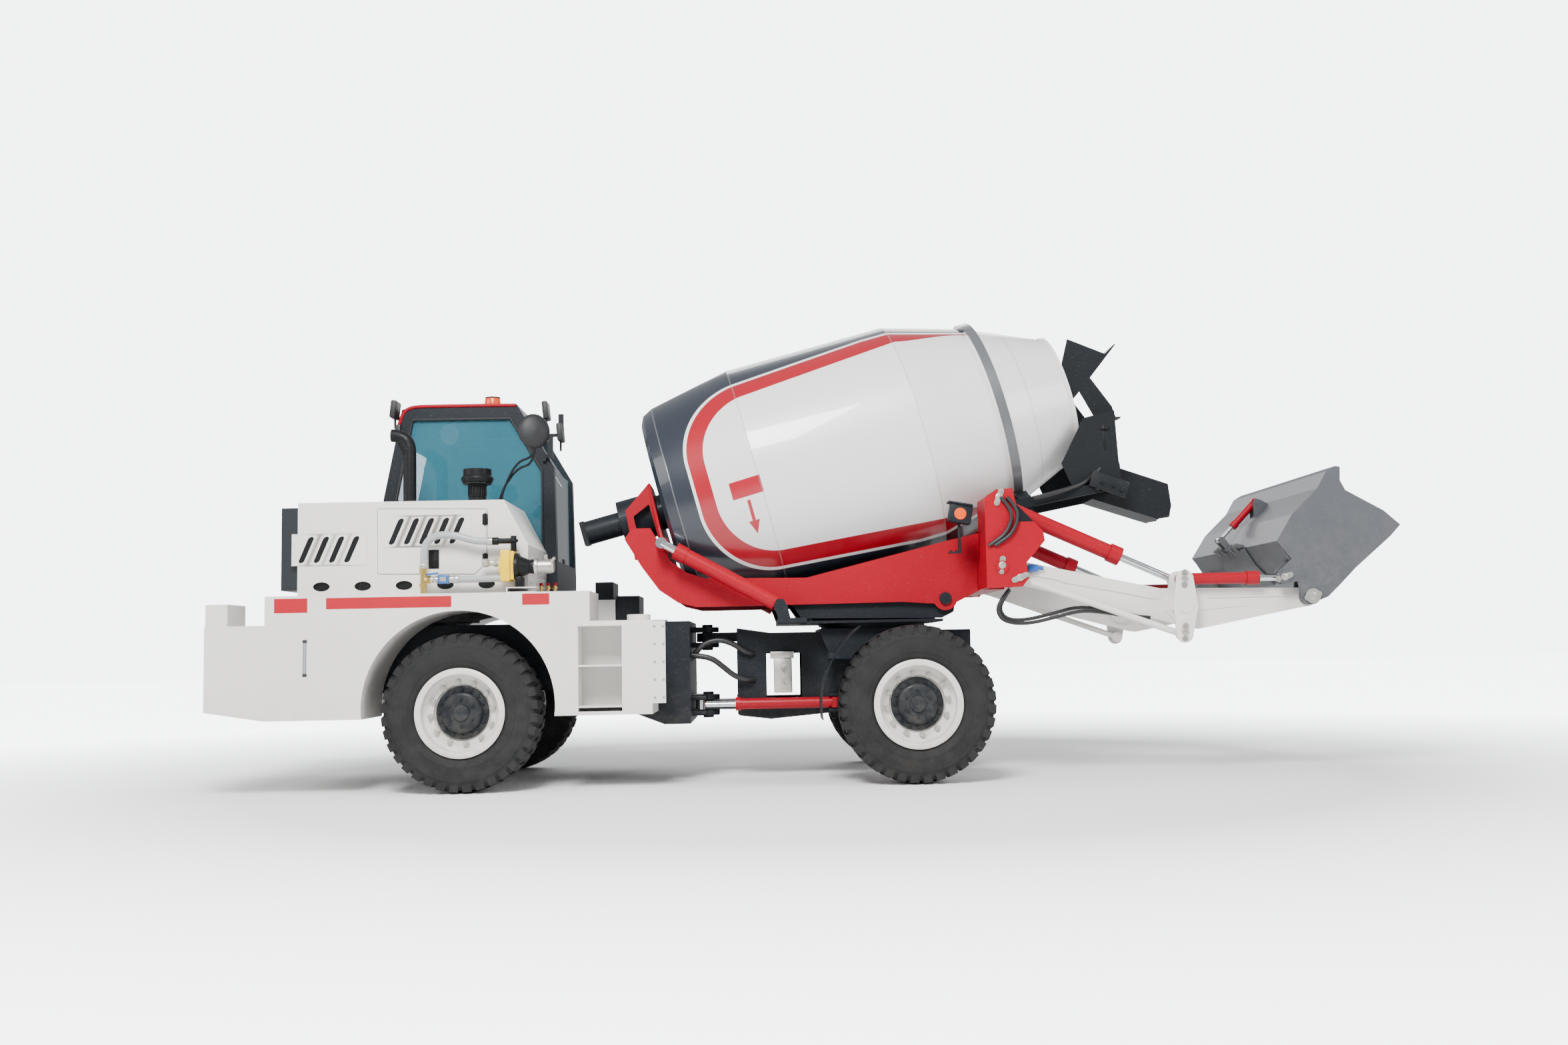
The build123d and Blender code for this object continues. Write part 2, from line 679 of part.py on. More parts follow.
# The drum's profile: place along its axis, outside radius
drum_profile = [(-1680, 710), (-1650, 770), (-1570, 810), (-930, 937), (340, 935), (975, 750), (1570, 495)]


def drum_radius(t):
    """The drum's outside radius at a place along its axis."""
    for (low_t, low_r), (high_t, high_r) in zip(drum_profile, drum_profile[1:]):
        if low_t <= t <= high_t:
            return low_r + (high_r - low_r) * (t - low_t) / (high_t - low_t)


def inside_profile(wall):
    """The drum's profile moved in by a wall."""
    points = [(t, radius - wall) for t, radius in drum_profile]
    points[0] = (drum_profile[0][0] + wall, drum_profile[0][1] - wall)
    return points


# Two spirals of short blades inside the drum
blade_height = 150
blade_turn = 30
blade_step = 135
blade_count = 20
blade_start = -1400
blade_pitch = 15
blade_root = 40
blade_width = 535


def make_blades():
    """The blades, trimmed to the middle of the drum's wall."""
    origin = (drum_x, 0, drum_z)
    axis = (slope_cos, 0, slope_sin)
    inner = inside_profile(drum_wall / 2)
    room = [(inner[0][0], 0)] + inner + [(inner[-1][0], 0)]
    places = []
    for first_angle in (0, 180):
        for place in range(blade_count):
            t = blade_start + place * blade_step
            angle = radians(first_angle + place * blade_turn)
            outwards = Vector(-slope_sin * sin(angle), cos(angle), slope_cos * sin(angle))
            forwards = Vector(*axis)
            facing = forwards * cos(radians(blade_pitch)) - forwards.cross(outwards) * sin(radians(blade_pitch))
            middle = drum_plane(t).origin + outwards * (drum_radius(t) - (blade_height - blade_root) / 2)
            places.append(Plane(origin=middle, x_dir=outwards, z_dir=facing).location)
    with BuildPart() as blades:
        with Locations(*places):
            Box(blade_height + blade_root, blade_width, drum_wall)
        with BuildSketch(Plane(origin=origin, x_dir=axis, z_dir=(0, -1, 0))) as space:
            with BuildLine():
                Polyline(*room, close=True)
            make_face()
        revolve(space.sketch, axis=Axis(origin, axis), mode=Mode.INTERSECT)
    return blades.part


def make_drum():
    outer = [(drum_profile[0][0], 0)] + drum_profile
    inner = [(drum_profile[0][0] + drum_wall, 0)] + inside_profile(drum_wall)
    inner.reverse()
    origin = (drum_x, 0, drum_z)
    axis = (slope_cos, 0, slope_sin)
    blades = make_blades()
    with BuildPart() as drum:
        with BuildSketch(Plane(origin=origin, x_dir=axis, z_dir=(0, -1, 0))):
            with BuildLine():
                Polyline(*outer, *inner, close=True)
            make_face()
        revolve(axis=Axis(origin, axis))
        # Flange to the gearbox, rolling ring and rim of the mouth
        with BuildSketch(drum_plane(-1680)) as hub:
            Circle(190)
        extrude(hub.sketch, amount=-15)
        with BuildSketch(drum_plane(940)) as ring:
            Circle(ring_radius)
            Circle(745, mode=Mode.SUBTRACT)
        extrude(ring.sketch, amount=70)
        with BuildSketch(drum_plane(1550)) as mouth:
            Circle(515)
            Circle(488, mode=Mode.SUBTRACT)
        extrude(mouth.sketch, amount=24)
        add(blades)
    keep(drum, "drum")


def make_hopper():
    with BuildPart() as hopper:
        # Feed scoop over the mouth
        scoop = [(2054, 3336), (2347, 3215), (2423, 3293), (2187, 2997), (2089, 2878), (2005, 3142)]
        plates(scoop, 400, 408)
        plate([(2423, 3293), (2187, 2997), (2089, 2878), (2095, 2872), (2193, 2990),
            (2430, 3287)], -408, 408)
        # Collector round the lower half of the mouth
        side = [(2130, 2694), (2363, 2749), (2381, 2391), (2399, 2327), (2411, 2150), (2028, 2166),
            (1951, 2345)]
        plates(side, 524, 532)
        plate([(2363, 2749), (2381, 2391), (2399, 2160), (2407, 2160), (2389, 2391),
            (2371, 2749)], -532, 532)
        # Bent guide plates between scoop and chute
        plates([(2130, 2930), (2216, 3038), (2385, 2801), (2420, 2690), (2260, 2690)], 400, 408)
        block((2200, 2420), (408, 530), (2690, 2700))
        block((2200, 2420), (-530, -408), (2690, 2700))
        # Discharge chute
        floor = [(2260, 2109), (2772, 1940), (2772, 1932), (2258, 2101)]
        plate(floor, -190, 190)
        plates([(2260, 2105), (2772, 1936), (2858, 1949), (2878, 2040), (2858, 2212), (2483, 2342),
            (2300, 2342)], 182, 190)
        plate([(2399, 2155), (2300, 2342), (2294, 2340), (2392, 2155)], -190, 190)
        block((2385, 2407), (-532, 532), (2150, 2200))
        # Feet on the side beams
        blocks((2330, 2411), (532, 560 - seat), (2160, 2200))
    keep(hopper, "hopper_and_chute")


# Loader: arms, bellcranks, links, cylinders and bucket
def make_arm():
    slab = [
        (1387, 1612), (1504, 1588), (2562, 1362), (2807, 1361), (3518, 1350), (3634, 1350), (3700, 1283),
        (3634, 1213),
        (2838, 1062), (2784, 1068), (1387, 1450),
    ]
    with BuildPart() as arm:
        plates(slab, arm_y - 25, arm_y + 25)
        discs(arm_pin, 85, arm_y - 25, arm_y + 25)
        discs(bucket_pin, 72, arm_y - 25, arm_y + 25)
        discs(crank_pin, 110, arm_y - 32, arm_y + 32)
        disc((3070, 1200), 60, -arm_y, arm_y)
        for pin, radius in ((arm_pin, 45), (crank_pin, 55), (bucket_pin, 40)):
            discs(pin, radius + play, arm_y - 40, arm_y + 40, Mode.SUBTRACT)
        # Stiffening strips on the outer faces
        for strip in (
            [(1560, 1500), (2500, 1300), (2500, 1288), (1560, 1488)],
            [(2900, 1300), (3480, 1300), (3480, 1288), (2900, 1288)],
        ):
            plates(strip, arm_y + 25, arm_y + 33)
    keep(arm, "loader_arm")


def make_bellcranks():
    lever = [(2646, 1426), (2617, 1230), (2634, 1022), (2754, 1022), (2797, 1230), (2770, 1426)]
    short = [(2646, 1426), (2617, 1230), (2797, 1230), (2770, 1426)]
    with BuildPart() as cranks:
        plates(lever, outer_plate_y - 10, outer_plate_y + 10)
        discs(crank_top_pin, 62, outer_plate_y - 10, outer_plate_y + 10)
        discs(crank_low_pin, 60, outer_plate_y - 10, outer_plate_y + 10)
        discs(crank_pin, 90, outer_plate_y - 10, outer_plate_y + 10)
        plates(short, inner_plate_y - 9, inner_plate_y + 9)
        discs(crank_top_pin, 62, inner_plate_y - 9, inner_plate_y + 9)
        discs(crank_pin, 90, inner_plate_y - 9, inner_plate_y + 9)
        discs(crank_pin, 55, inner_plate_y - 14, outer_plate_y + 16)
        discs(crank_top_pin, 33, inner_plate_y - 9, outer_plate_y + 16)
        discs(crank_low_pin, 33, outer_plate_y - 10, outer_plate_y + 16)
    keep(cranks, "bellcranks")


def make_level_links():
    start = along(link_pin, crank_low_pin, 40)
    end = along(crank_low_pin, link_pin, 30)
    with BuildPart() as links:
        for y in (-outer_layer_y, outer_layer_y):
            bar(start, end, y, 24)
        discs(link_pin, 48, outer_layer_y - 25, outer_layer_y + 25)
        discs(crank_low_pin, 45, outer_layer_y - 25, outer_layer_y + 25)
        discs(link_pin, 25 + play, outer_layer_y - 30, outer_layer_y + 30, Mode.SUBTRACT)
    keep(links, "level_links")


def cylinder_pair(name, base, top, y, eye, barrel, gland, rod, body_length, base_pin):
    """A pair of barrels with their rods: the rod's eye is the open end."""
    gland_start = along(base, top, body_length - 90)
    gland_end = along(base, top, body_length)
    length = hypot(top[0] - base[0], top[1] - base[1])
    with BuildPart() as barrels:
        for side in (-y, y):
            bar(along(base, top, eye - 8), gland_end, side, barrel)
            bar(gland_start, gland_end, side, gland)
            bar(along(base, top, eye + 40), along(base, top, body_length + 1),
                side, rod + 0.5, Mode.SUBTRACT)
        discs(base, eye, y - 30, y + 30)
        discs(base, base_pin + play, y - 35, y + 35, Mode.SUBTRACT)
    keep(barrels, f"{name}_barrels")
    with BuildPart() as rods:
        for side in (-y, y):
            bar(along(base, top, max(length - body_length, eye + 60)), top, side, rod)
        discs(top, eye * 0.8, y - 30, y + 30)
    keep(rods, f"{name}_rods")


def make_loader_cylinders():
    cylinder_pair("arm_lift", lift_base_pin, crank_top_pin, lift_y, 62, 58, 70, 28, 1022, 38)
    cylinder_pair("bucket_tilt", crank_top_pin, tilt_rod_pin, outer_layer_y, 50, 42, 50, 26, 555, 33)
    cylinder_pair("drum_lift", drum_lift_base, drum_lift_top, drum_lift_y, 52, 57, 62, 34, 880, 28)


def make_bucket_pins():
    with BuildPart() as pins:
        discs(bucket_pin, 40, inner_plate_y - 20, outer_plate_y + 20)
        discs(bucket_pin, 55, outer_plate_y + 8, outer_plate_y + 20)
        discs(bucket_pin, 55, inner_plate_y - 20, inner_plate_y - 12)
    keep(pins, "bucket_pins")


bucket_side_y = 1050
bucket_shell = [
    (3844, 2229), (3778, 2191), (3706, 2066), (3513, 1880), (3391, 1687), (3470, 1560), (3620, 1405),
    (3835, 1375), (3961, 1483), (4227, 1709), (4303, 1791),
]


def make_bucket():
    side = [
        (3844, 2229), (3881, 2223), (3877, 2123), (3913, 2051), (4184, 1898), (4303, 1791), (4227, 1709),
        (3961, 1483),
        (3835, 1357), (3749, 1276), (3605, 1221), (3560, 1262), (3496, 1552), (3391, 1687), (3513, 1880),
        (3706, 2066),
        (3778, 2191),
    ]
    lug = [(3392, 1410), (3400, 1465), (3500, 1560), (3650, 1430), (3640, 1400), (3470, 1385), (3435, 1375)]
    ear = [(3560, 1262), (3605, 1212), (3680, 1225), (3749, 1276), (3800, 1385), (3640, 1415), (3575, 1400)]
    with BuildPart() as bucket:
        plates(side, bucket_side_y - 20, bucket_side_y)
        with BuildSketch(Plane.XZ.offset(-bucket_side_y + 20)) as shell:
            with BuildLine():
                Polyline(*bucket_shell)
                offset(amount=14, side=Side.LEFT)
            make_face()
        extrude(shell.sketch, amount=2 * bucket_side_y - 40)
        # Thick cutting edge
        plate([(4227, 1709), (4303, 1791), (4285, 1806), (4209, 1724)], -bucket_side_y, bucket_side_y)
        plates(ear, inner_plate_y - 9, inner_plate_y + 9)
        plates(lug, 936, 954)
        plates(lug, bucket_side_y - 20, bucket_side_y)
        discs(tilt_rod_pin, 45, 936, 954)
        discs(tilt_rod_pin, 45, bucket_side_y - 20, bucket_side_y + 12)
        discs(bucket_pin, 60, 938, bucket_side_y)
        discs(bucket_pin, 60, inner_plate_y - 9, inner_plate_y + 9)
        discs(bucket_pin, 40 + play, inner_plate_y - 30, bucket_side_y + 30, Mode.SUBTRACT)
        # Gate opening in the lower back wall and the gate's hinge lugs
        plate([(3390, 1640), (3440, 1540), (3580, 1390), (3640, 1430), (3520, 1590),
            (3450, 1680)], -330, 330, Mode.SUBTRACT)
        for y in (-280, 0, 280):
            plate([(3345, 1700), (3355, 1720), (3400, 1712), (3400, 1684), (3365, 1680)], y - 12, y + 12)
        disc(gate_hinge, 14, -320, 320)
        # Lugs for the gate cylinder
        plates([(3572, 2060), (3590, 2096), (3625, 2090), (3695, 2052), (3700, 2046), (3578, 1929)], 36, 52)
        disc(gate_base_pin, 20, -56, 56)
    keep(bucket, "bucket")


def make_gate():
    blade = [(3386, 1682), (3465, 1555), (3616, 1400), (3607, 1391), (3455, 1545), (3375, 1676)]
    lever = [(3310, 1796), (3336, 1780), (3389, 1706), (3382, 1676), (3348, 1690), (3286, 1760)]
    with BuildPart() as gate:
        plate(blade, -350, 350)
        for y in (-220, -100, 100, 220):
            disc(gate_hinge, 27, y - 25, y + 25)
            plate([(3340, 1695), (3380, 1695), (3400, 1652), (3384, 1660)], y - 25, y + 25)
        plates(lever, 36, 50)
        discs(gate_lever_pin, 26, 36, 50)
        plates([(3366, 1690), (3380, 1690), (3420, 1610), (3405, 1620)], 36, 50)
        disc(gate_hinge, 14 + play, -330, 330, Mode.SUBTRACT)
    keep(gate, "bucket_gate")


def make_gate_cylinder():
    length = hypot(gate_base_pin[0] - gate_lever_pin[0], gate_base_pin[1] - gate_lever_pin[1])
    body = 270
    gland_end = along(gate_base_pin, gate_lever_pin, body)
    with BuildPart() as barrel:
        bar(along(gate_base_pin, gate_lever_pin, 26), gland_end, 0, 28)
        bar(along(gate_base_pin, gate_lever_pin, body - 40), gland_end, 0, 33)
        bar(along(gate_base_pin, gate_lever_pin, 60), along(gate_base_pin, gate_lever_pin, body + 1),
            0, 14.5, Mode.SUBTRACT)
        disc(gate_base_pin, 32, -25, 25)
        disc(gate_base_pin, 20 + play, -26, 26, Mode.SUBTRACT)
    keep(barrel, "gate_barrel")
    with BuildPart() as rod:
        bar(along(gate_base_pin, gate_lever_pin, length - body), gate_lever_pin, 0, 14)
        disc(gate_lever_pin, 24, -25, 25)
    keep(rod, "gate_rod")


make_wheels()
make_rear_chassis()
make_side_tank("right", -1)
make_side_tank("left", 1)
make_counterweight()
make_engine()
make_hood()
make_exhaust()
make_cab()
make_cab_glass()
make_cab_inside()
make_cab_door()
make_pump_set()
make_deck_tank()
make_front_chassis()
make_steering()
make_slew_frame()
make_drum_frame()
make_gearbox()
make_drum()
make_hopper()
make_arm()
make_bellcranks()
make_level_links()
make_loader_cylinders()
make_bucket_pins()
make_bucket()
make_gate()
make_gate_cylinder()
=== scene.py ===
# %% [markdown]
# Self-loading concrete mixer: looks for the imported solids.
# The solids arrive at real size, in metres, with +X forward and +Z up.
# Each step below first says what the real piece is, then how it is made here.

import json
from math import cos, pi, radians, sin, sqrt

import bmesh
import bpy
from mathutils import Matrix, Vector

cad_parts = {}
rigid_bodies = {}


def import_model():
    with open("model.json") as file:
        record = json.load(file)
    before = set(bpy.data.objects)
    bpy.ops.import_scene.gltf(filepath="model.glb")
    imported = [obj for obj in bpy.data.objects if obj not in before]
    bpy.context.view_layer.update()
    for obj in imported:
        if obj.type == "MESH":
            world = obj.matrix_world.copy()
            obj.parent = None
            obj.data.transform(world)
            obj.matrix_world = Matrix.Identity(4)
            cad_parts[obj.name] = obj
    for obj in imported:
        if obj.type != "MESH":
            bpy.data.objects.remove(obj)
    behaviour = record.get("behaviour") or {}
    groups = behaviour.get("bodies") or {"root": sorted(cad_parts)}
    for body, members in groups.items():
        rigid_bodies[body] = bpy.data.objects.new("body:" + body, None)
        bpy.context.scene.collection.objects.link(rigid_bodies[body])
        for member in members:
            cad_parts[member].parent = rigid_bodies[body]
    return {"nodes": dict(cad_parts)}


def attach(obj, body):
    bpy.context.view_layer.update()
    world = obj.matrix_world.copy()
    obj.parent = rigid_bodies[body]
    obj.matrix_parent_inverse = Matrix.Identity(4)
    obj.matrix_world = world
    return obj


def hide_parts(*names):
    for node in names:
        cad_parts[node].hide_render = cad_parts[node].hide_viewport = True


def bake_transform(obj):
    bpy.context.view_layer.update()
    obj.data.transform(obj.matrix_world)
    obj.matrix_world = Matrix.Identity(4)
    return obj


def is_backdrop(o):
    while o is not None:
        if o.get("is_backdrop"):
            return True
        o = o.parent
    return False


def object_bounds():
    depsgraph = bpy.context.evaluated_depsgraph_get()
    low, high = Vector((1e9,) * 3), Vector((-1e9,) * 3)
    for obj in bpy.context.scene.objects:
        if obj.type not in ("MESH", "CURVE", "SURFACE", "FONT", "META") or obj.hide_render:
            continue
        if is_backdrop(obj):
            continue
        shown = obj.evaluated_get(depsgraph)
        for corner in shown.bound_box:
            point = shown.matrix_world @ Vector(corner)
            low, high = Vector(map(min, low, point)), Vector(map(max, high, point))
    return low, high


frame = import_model()
solids = frame["nodes"]
cad_low, cad_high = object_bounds()

# %% [markdown]
# The photograph was taken from the machine's right side, low down and close, so that the
# ground line runs almost level. A camera is a place, a direction and a lens. The direction
# is set from the point where lines along Y would meet in the picture, and a small roll.

# %% Camera
photo_width, photo_height = 2352, 1568
focal_pixels = 2195
meeting_point = (1140, 975)
camera_roll = radians(1.1)
camera_place = Vector((-0.378, -11.6, 0.97))
along_y = Vector((
    (meeting_point[0] - photo_width / 2) / focal_pixels,
    (meeting_point[1] - photo_height / 2) / focal_pixels,
    1.0,
)).normalized()
level_x = Vector((cos(camera_roll), -sin(camera_roll), 0))
along_x = (level_x - along_y * level_x.dot(along_y)).normalized()
along_z = along_x.cross(along_y)
if along_z.y > 0:
    along_z = -along_z
camera_data = bpy.data.cameras.new("photo_camera")
camera_data.sensor_width = 36
camera_data.lens = 36 * focal_pixels / photo_width
camera_data.clip_end = 200
camera = bpy.data.objects.new("photo_camera", camera_data)
bpy.context.collection.objects.link(camera)
camera.matrix_world = Matrix((
    (along_x.x, -along_x.y, -along_x.z, camera_place.x),
    (along_y.x, -along_y.y, -along_y.z, camera_place.y),
    (along_z.x, -along_z.y, -along_z.z, camera_place.z),
    (0, 0, 0, 1),
))
bpy.context.scene.camera = camera
print("lens", round(camera_data.lens, 2), "mm")

# %% [markdown]
# The floor is one wide pale plane, marked as the stage so that it isn't part of the mixer.
# Away from the machine it glows, so that it runs into the backdrop without a horizon.
# The world is a soft pale dome, which paint, glass and chrome have to reflect. The camera
# sees it much brighter than it lights, so that the backdrop is white as in the photograph.

# %% Floor and world
floor_shape = bmesh.new()
bmesh.ops.create_grid(floor_shape, x_segments=1, y_segments=1, size=60)
floor_mesh = bpy.data.meshes.new("studio_floor")
floor_shape.to_mesh(floor_mesh)
floor_shape.free()
studio_floor = bpy.data.objects.new("studio_floor", floor_mesh)
bpy.context.collection.objects.link(studio_floor)
studio_floor.location.z = cad_low.z
floor_paint = bpy.data.materials.new("studio_floor_paint")
floor_paint.use_nodes = True
floor_shader = floor_paint.node_tree.nodes["Principled BSDF"]
floor_shader.inputs["Base Color"].default_value = (0.93, 0.93, 0.93, 1)
floor_shader.inputs["Roughness"].default_value = 0.85
floor_tree = floor_paint.node_tree
floor_place = floor_tree.nodes.new("ShaderNodeTexCoord")
floor_far = floor_tree.nodes.new("ShaderNodeVectorMath")
floor_far.operation = "LENGTH"
floor_tree.links.new(floor_place.outputs["Object"], floor_far.inputs[0])
floor_fade = floor_tree.nodes.new("ShaderNodeMapRange")
floor_fade.inputs["From Min"].default_value = 4.2
floor_fade.inputs["From Max"].default_value = 11.0
floor_fade.inputs["To Max"].default_value = 6.0
floor_tree.links.new(floor_far.outputs["Value"], floor_fade.inputs["Value"])
floor_seen = floor_tree.nodes.new("ShaderNodeLightPath")
floor_glow = floor_tree.nodes.new("ShaderNodeMath")
floor_glow.operation = "MULTIPLY"
floor_tree.links.new(floor_fade.outputs["Result"], floor_glow.inputs[0])
floor_tree.links.new(floor_seen.outputs["Is Camera Ray"], floor_glow.inputs[1])
floor_tree.links.new(floor_glow.outputs["Value"], floor_shader.inputs["Emission Strength"])
floor_shader.inputs["Emission Color"].default_value = (0.93, 0.96, 1.0, 1)
floor_mesh.materials.append(floor_paint)
studio_floor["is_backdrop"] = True
dome = bpy.data.worlds.new("studio_dome")
dome.use_nodes = True
sky = dome.node_tree.nodes["Background"]
sky.inputs["Color"].default_value = (0.93, 0.96, 1.0, 1)
seen = dome.node_tree.nodes.new("ShaderNodeLightPath")
sky_strength = dome.node_tree.nodes.new("ShaderNodeMapRange")
sky_strength.inputs["To Min"].default_value = 0.56
sky_strength.inputs["To Max"].default_value = 6.0
dome.node_tree.links.new(seen.outputs["Is Camera Ray"], sky_strength.inputs["Value"])
dome.node_tree.links.new(sky_strength.outputs["Result"], sky.inputs["Strength"])
bpy.context.scene.world = dome

# %% [markdown]
# Large area lights give soft edges to the shadows. The strongest stands high up on the
# camera's side.

# %% Lights
lights = [
    # name, place, width, watts
    ("key_light", (-2.0, -9.0, 8.5), 3.2, 2200),
    ("front_light", (8.5, -5.0, 5.0), 4.0, 420),
    ("rear_light", (-8.5, -3.0, 4.5), 4.0, 260),
    ("back_light", (1.0, 9.0, 7.0), 6.0, 500),
]
machine_middle = Vector((0, 0, 1.4))
for name, place, width, watts in lights:
    lamp = bpy.data.lights.new(name, "AREA")
    lamp.energy = watts
    lamp.size = width
    lamp_object = bpy.data.objects.new(name, lamp)
    bpy.context.collection.objects.link(lamp_object)
    lamp_object.location = place
    inward = machine_middle - Vector(place)
    lamp_object.rotation_euler = inward.to_track_quat("-Z", "Y").to_euler()
print("lights", len(lights))

# %% [markdown]
# Nearly every finish on a site machine shows the same three things: cloudy changes of
# tone, dust that gathers low down and on flat tops, and fine scratches. One node group
# works them out once, as masks, and each material mixes them in with its own strength.

# %% Shared wear group
wear_group = bpy.data.node_groups.new("site_wear", "ShaderNodeTree")
for socket_name, socket_value in (("Cloud Size", 1.5), ("Dust Height", 0.9), ("Scratch Size", 30.0)):
    socket = wear_group.interface.new_socket(socket_name, in_out="INPUT", socket_type="NodeSocketFloat")
    socket.default_value = socket_value
for socket_name in ("Cloud", "Dust", "Scratch", "Grain"):
    wear_group.interface.new_socket(socket_name, in_out="OUTPUT", socket_type="NodeSocketFloat")


def add_node(tree, kind, **settings):
    """A node of that kind, with its settings or socket values."""
    node = tree.nodes.new(kind)
    for key, value in settings.items():
        if hasattr(node, key):
            setattr(node, key, value)
        else:
            node.inputs[key.replace("_", " ")].default_value = value
    return node


def joined(tree, value, socket):
    """Link an output to a socket, or set a plain number there."""
    if isinstance(value, (int, float)):
        socket.default_value = value
    else:
        tree.links.new(value, socket)


def sum_of(tree, operation, first, second=0.0, third=None):
    """One step of arithmetic on masks or numbers."""
    node = add_node(tree, "ShaderNodeMath", operation=operation)
    joined(tree, first, node.inputs[0])
    joined(tree, second, node.inputs[1])
    if third is not None:
        joined(tree, third, node.inputs[2])
    return node.outputs[0]


def ramp(tree, value, start, end, low=0.0, high=1.0):
    """A smooth step from low to high between start and end."""
    node = add_node(tree, "ShaderNodeMapRange", interpolation_type="SMOOTHSTEP")
    joined(tree, value, node.inputs["Value"])
    joined(tree, start, node.inputs["From Min"])
    joined(tree, end, node.inputs["From Max"])
    joined(tree, low, node.inputs["To Min"])
    joined(tree, high, node.inputs["To Max"])
    return node.outputs["Result"]


def noise(tree, vector, scale, detail=4.0, roughness=0.55):
    """Soft noise of that scale, from 0 to 1."""
    node = add_node(tree, "ShaderNodeTexNoise", Detail=detail, Roughness=roughness)
    tree.links.new(vector, node.inputs["Vector"])
    joined(tree, scale, node.inputs["Scale"])
    return node.outputs["Fac"]


wear_in = wear_group.nodes.new("NodeGroupInput")
wear_out = wear_group.nodes.new("NodeGroupOutput")
wear_place = add_node(wear_group, "ShaderNodeTexCoord").outputs["Object"]
wear_heights = add_node(wear_group, "ShaderNodeSeparateXYZ")
wear_group.links.new(wear_place, wear_heights.inputs[0])
cloud = noise(wear_group, wear_place, wear_in.outputs["Cloud Size"], 5.0)
speckle = noise(wear_group, wear_place, 9.0, 8.0, 0.65)
low_down = ramp(wear_group, wear_heights.outputs["Z"], 0.0, wear_in.outputs["Dust Height"], 1.0, 0.0)
dust = sum_of(wear_group, "MULTIPLY", ramp(wear_group, speckle, 0.36, 0.66), low_down)
stretch = add_node(wear_group, "ShaderNodeMapping", Scale=(1.0, 1.0, 14.0))
wear_group.links.new(wear_place, stretch.inputs["Vector"])
streak = noise(wear_group, stretch.outputs[0], wear_in.outputs["Scratch Size"], 2.0)
scratch = ramp(wear_group, streak, 0.66, 0.74)
grain = noise(wear_group, wear_place, 260.0, 2.0)
for output_name, value in (("Cloud", cloud), ("Dust", dust), ("Scratch", scratch), ("Grain", grain)):
    wear_group.links.new(value, wear_out.inputs[output_name])
print("wear group outputs", [item.name for item in wear_group.interface.items_tree][-4:])

# %% [markdown]
# Painted plate is a coloured base with a clear gloss. It is built by one function, which
# takes the colour, how rough it is and how much dust lies on it, so that the cream, the
# slate grey and the crimson stay one family and differ only in their numbers.

# %% Painted plate
def blended(tree, mask, first, second):
    """Two colours mixed by a mask."""
    node = add_node(tree, "ShaderNodeMix", data_type="RGBA")
    joined(tree, mask, node.inputs["Factor"])
    for colour, socket in ((first, node.inputs[6]), (second, node.inputs[7])):
        if isinstance(colour, tuple):
            socket.default_value = (*colour, 1) if len(colour) == 3 else colour
        else:
            tree.links.new(colour, socket)
    return node.outputs[2]


def new_finish(name):
    """A material with its tree, its shader and a wear group."""
    finish = bpy.data.materials.new(name)
    finish.use_nodes = True
    tree = finish.node_tree
    wear = add_node(tree, "ShaderNodeGroup", node_tree=wear_group)
    return finish, tree, tree.nodes["Principled BSDF"], wear


def add_bump(tree, shader, height, strength, distance=0.001):
    """Relief from a height mask."""
    bump = add_node(tree, "ShaderNodeBump", Strength=strength, Distance=distance)
    tree.links.new(height, bump.inputs["Height"])
    tree.links.new(bump.outputs["Normal"], shader.inputs["Normal"])


dust_colour = (0.42, 0.38, 0.31)
full_crimson = (0.36, 0.0, 0.012)


def painted_plate(name, colour, roughness=0.38, dust=0.5, coat=0.25, shade=0.86, dust_height=0.9):
    """A site machine's paint, clouded, dusty low down and finely scratched."""
    finish, tree, shader, wear = new_finish(name)
    wear.inputs["Dust Height"].default_value = dust_height
    darker = tuple(part * shade for part in colour)
    base = blended(tree, wear.outputs["Cloud"], darker, colour)
    base = blended(tree, sum_of(tree, "MULTIPLY", wear.outputs["Scratch"], 0.12), base, (0.55, 0.53, 0.50))
    base = blended(tree, sum_of(tree, "MULTIPLY", wear.outputs["Dust"], dust), base, dust_colour)
    tree.links.new(base, shader.inputs["Base Color"])
    rough = sum_of(tree, "MULTIPLY_ADD", wear.outputs["Dust"], 0.3 * dust, roughness)
    rough = sum_of(tree, "MULTIPLY_ADD", wear.outputs["Cloud"], 0.08, rough)
    tree.links.new(rough, shader.inputs["Roughness"])
    shader.inputs["Specular IOR Level"].default_value = 0.5 if min(colour) > 0.2 else 0.2
    shader.inputs["Coat Weight"].default_value = coat
    shader.inputs["Coat Roughness"].default_value = 0.12
    add_bump(tree, shader, wear.outputs["Grain"], 0.06)
    return finish


cream_paint = painted_plate("cream_paint", (0.79, 0.77, 0.73), dust=0.55)
slate_paint = painted_plate("slate_paint", (0.009, 0.012, 0.016), 0.5, dust=0.10, coat=0.05)
crimson_paint = painted_plate("crimson_paint", full_crimson, 0.36, dust=0.03, coat=0.05, shade=0.8)
wheel_cream = painted_plate("wheel_cream", (0.74, 0.72, 0.67), 0.42, dust=0.55, dust_height=1.4)
bucket_grey = painted_plate("bucket_grey", (0.085, 0.09, 0.10), 0.5, dust=0.2, coat=0.1, dust_height=2.4)
hopper_slate = painted_plate("hopper_slate", (0.007, 0.009, 0.011), 0.45, dust=0.1, coat=0.08)
pump_yellow = painted_plate("pump_yellow", (0.90, 0.58, 0.0), 0.35, dust=0.1, dust_height=2.0)
engine_black = painted_plate(
    "engine_black", (0.02, 0.021, 0.023), 0.55, dust=0.2, coat=0.05, dust_height=2.0,
)
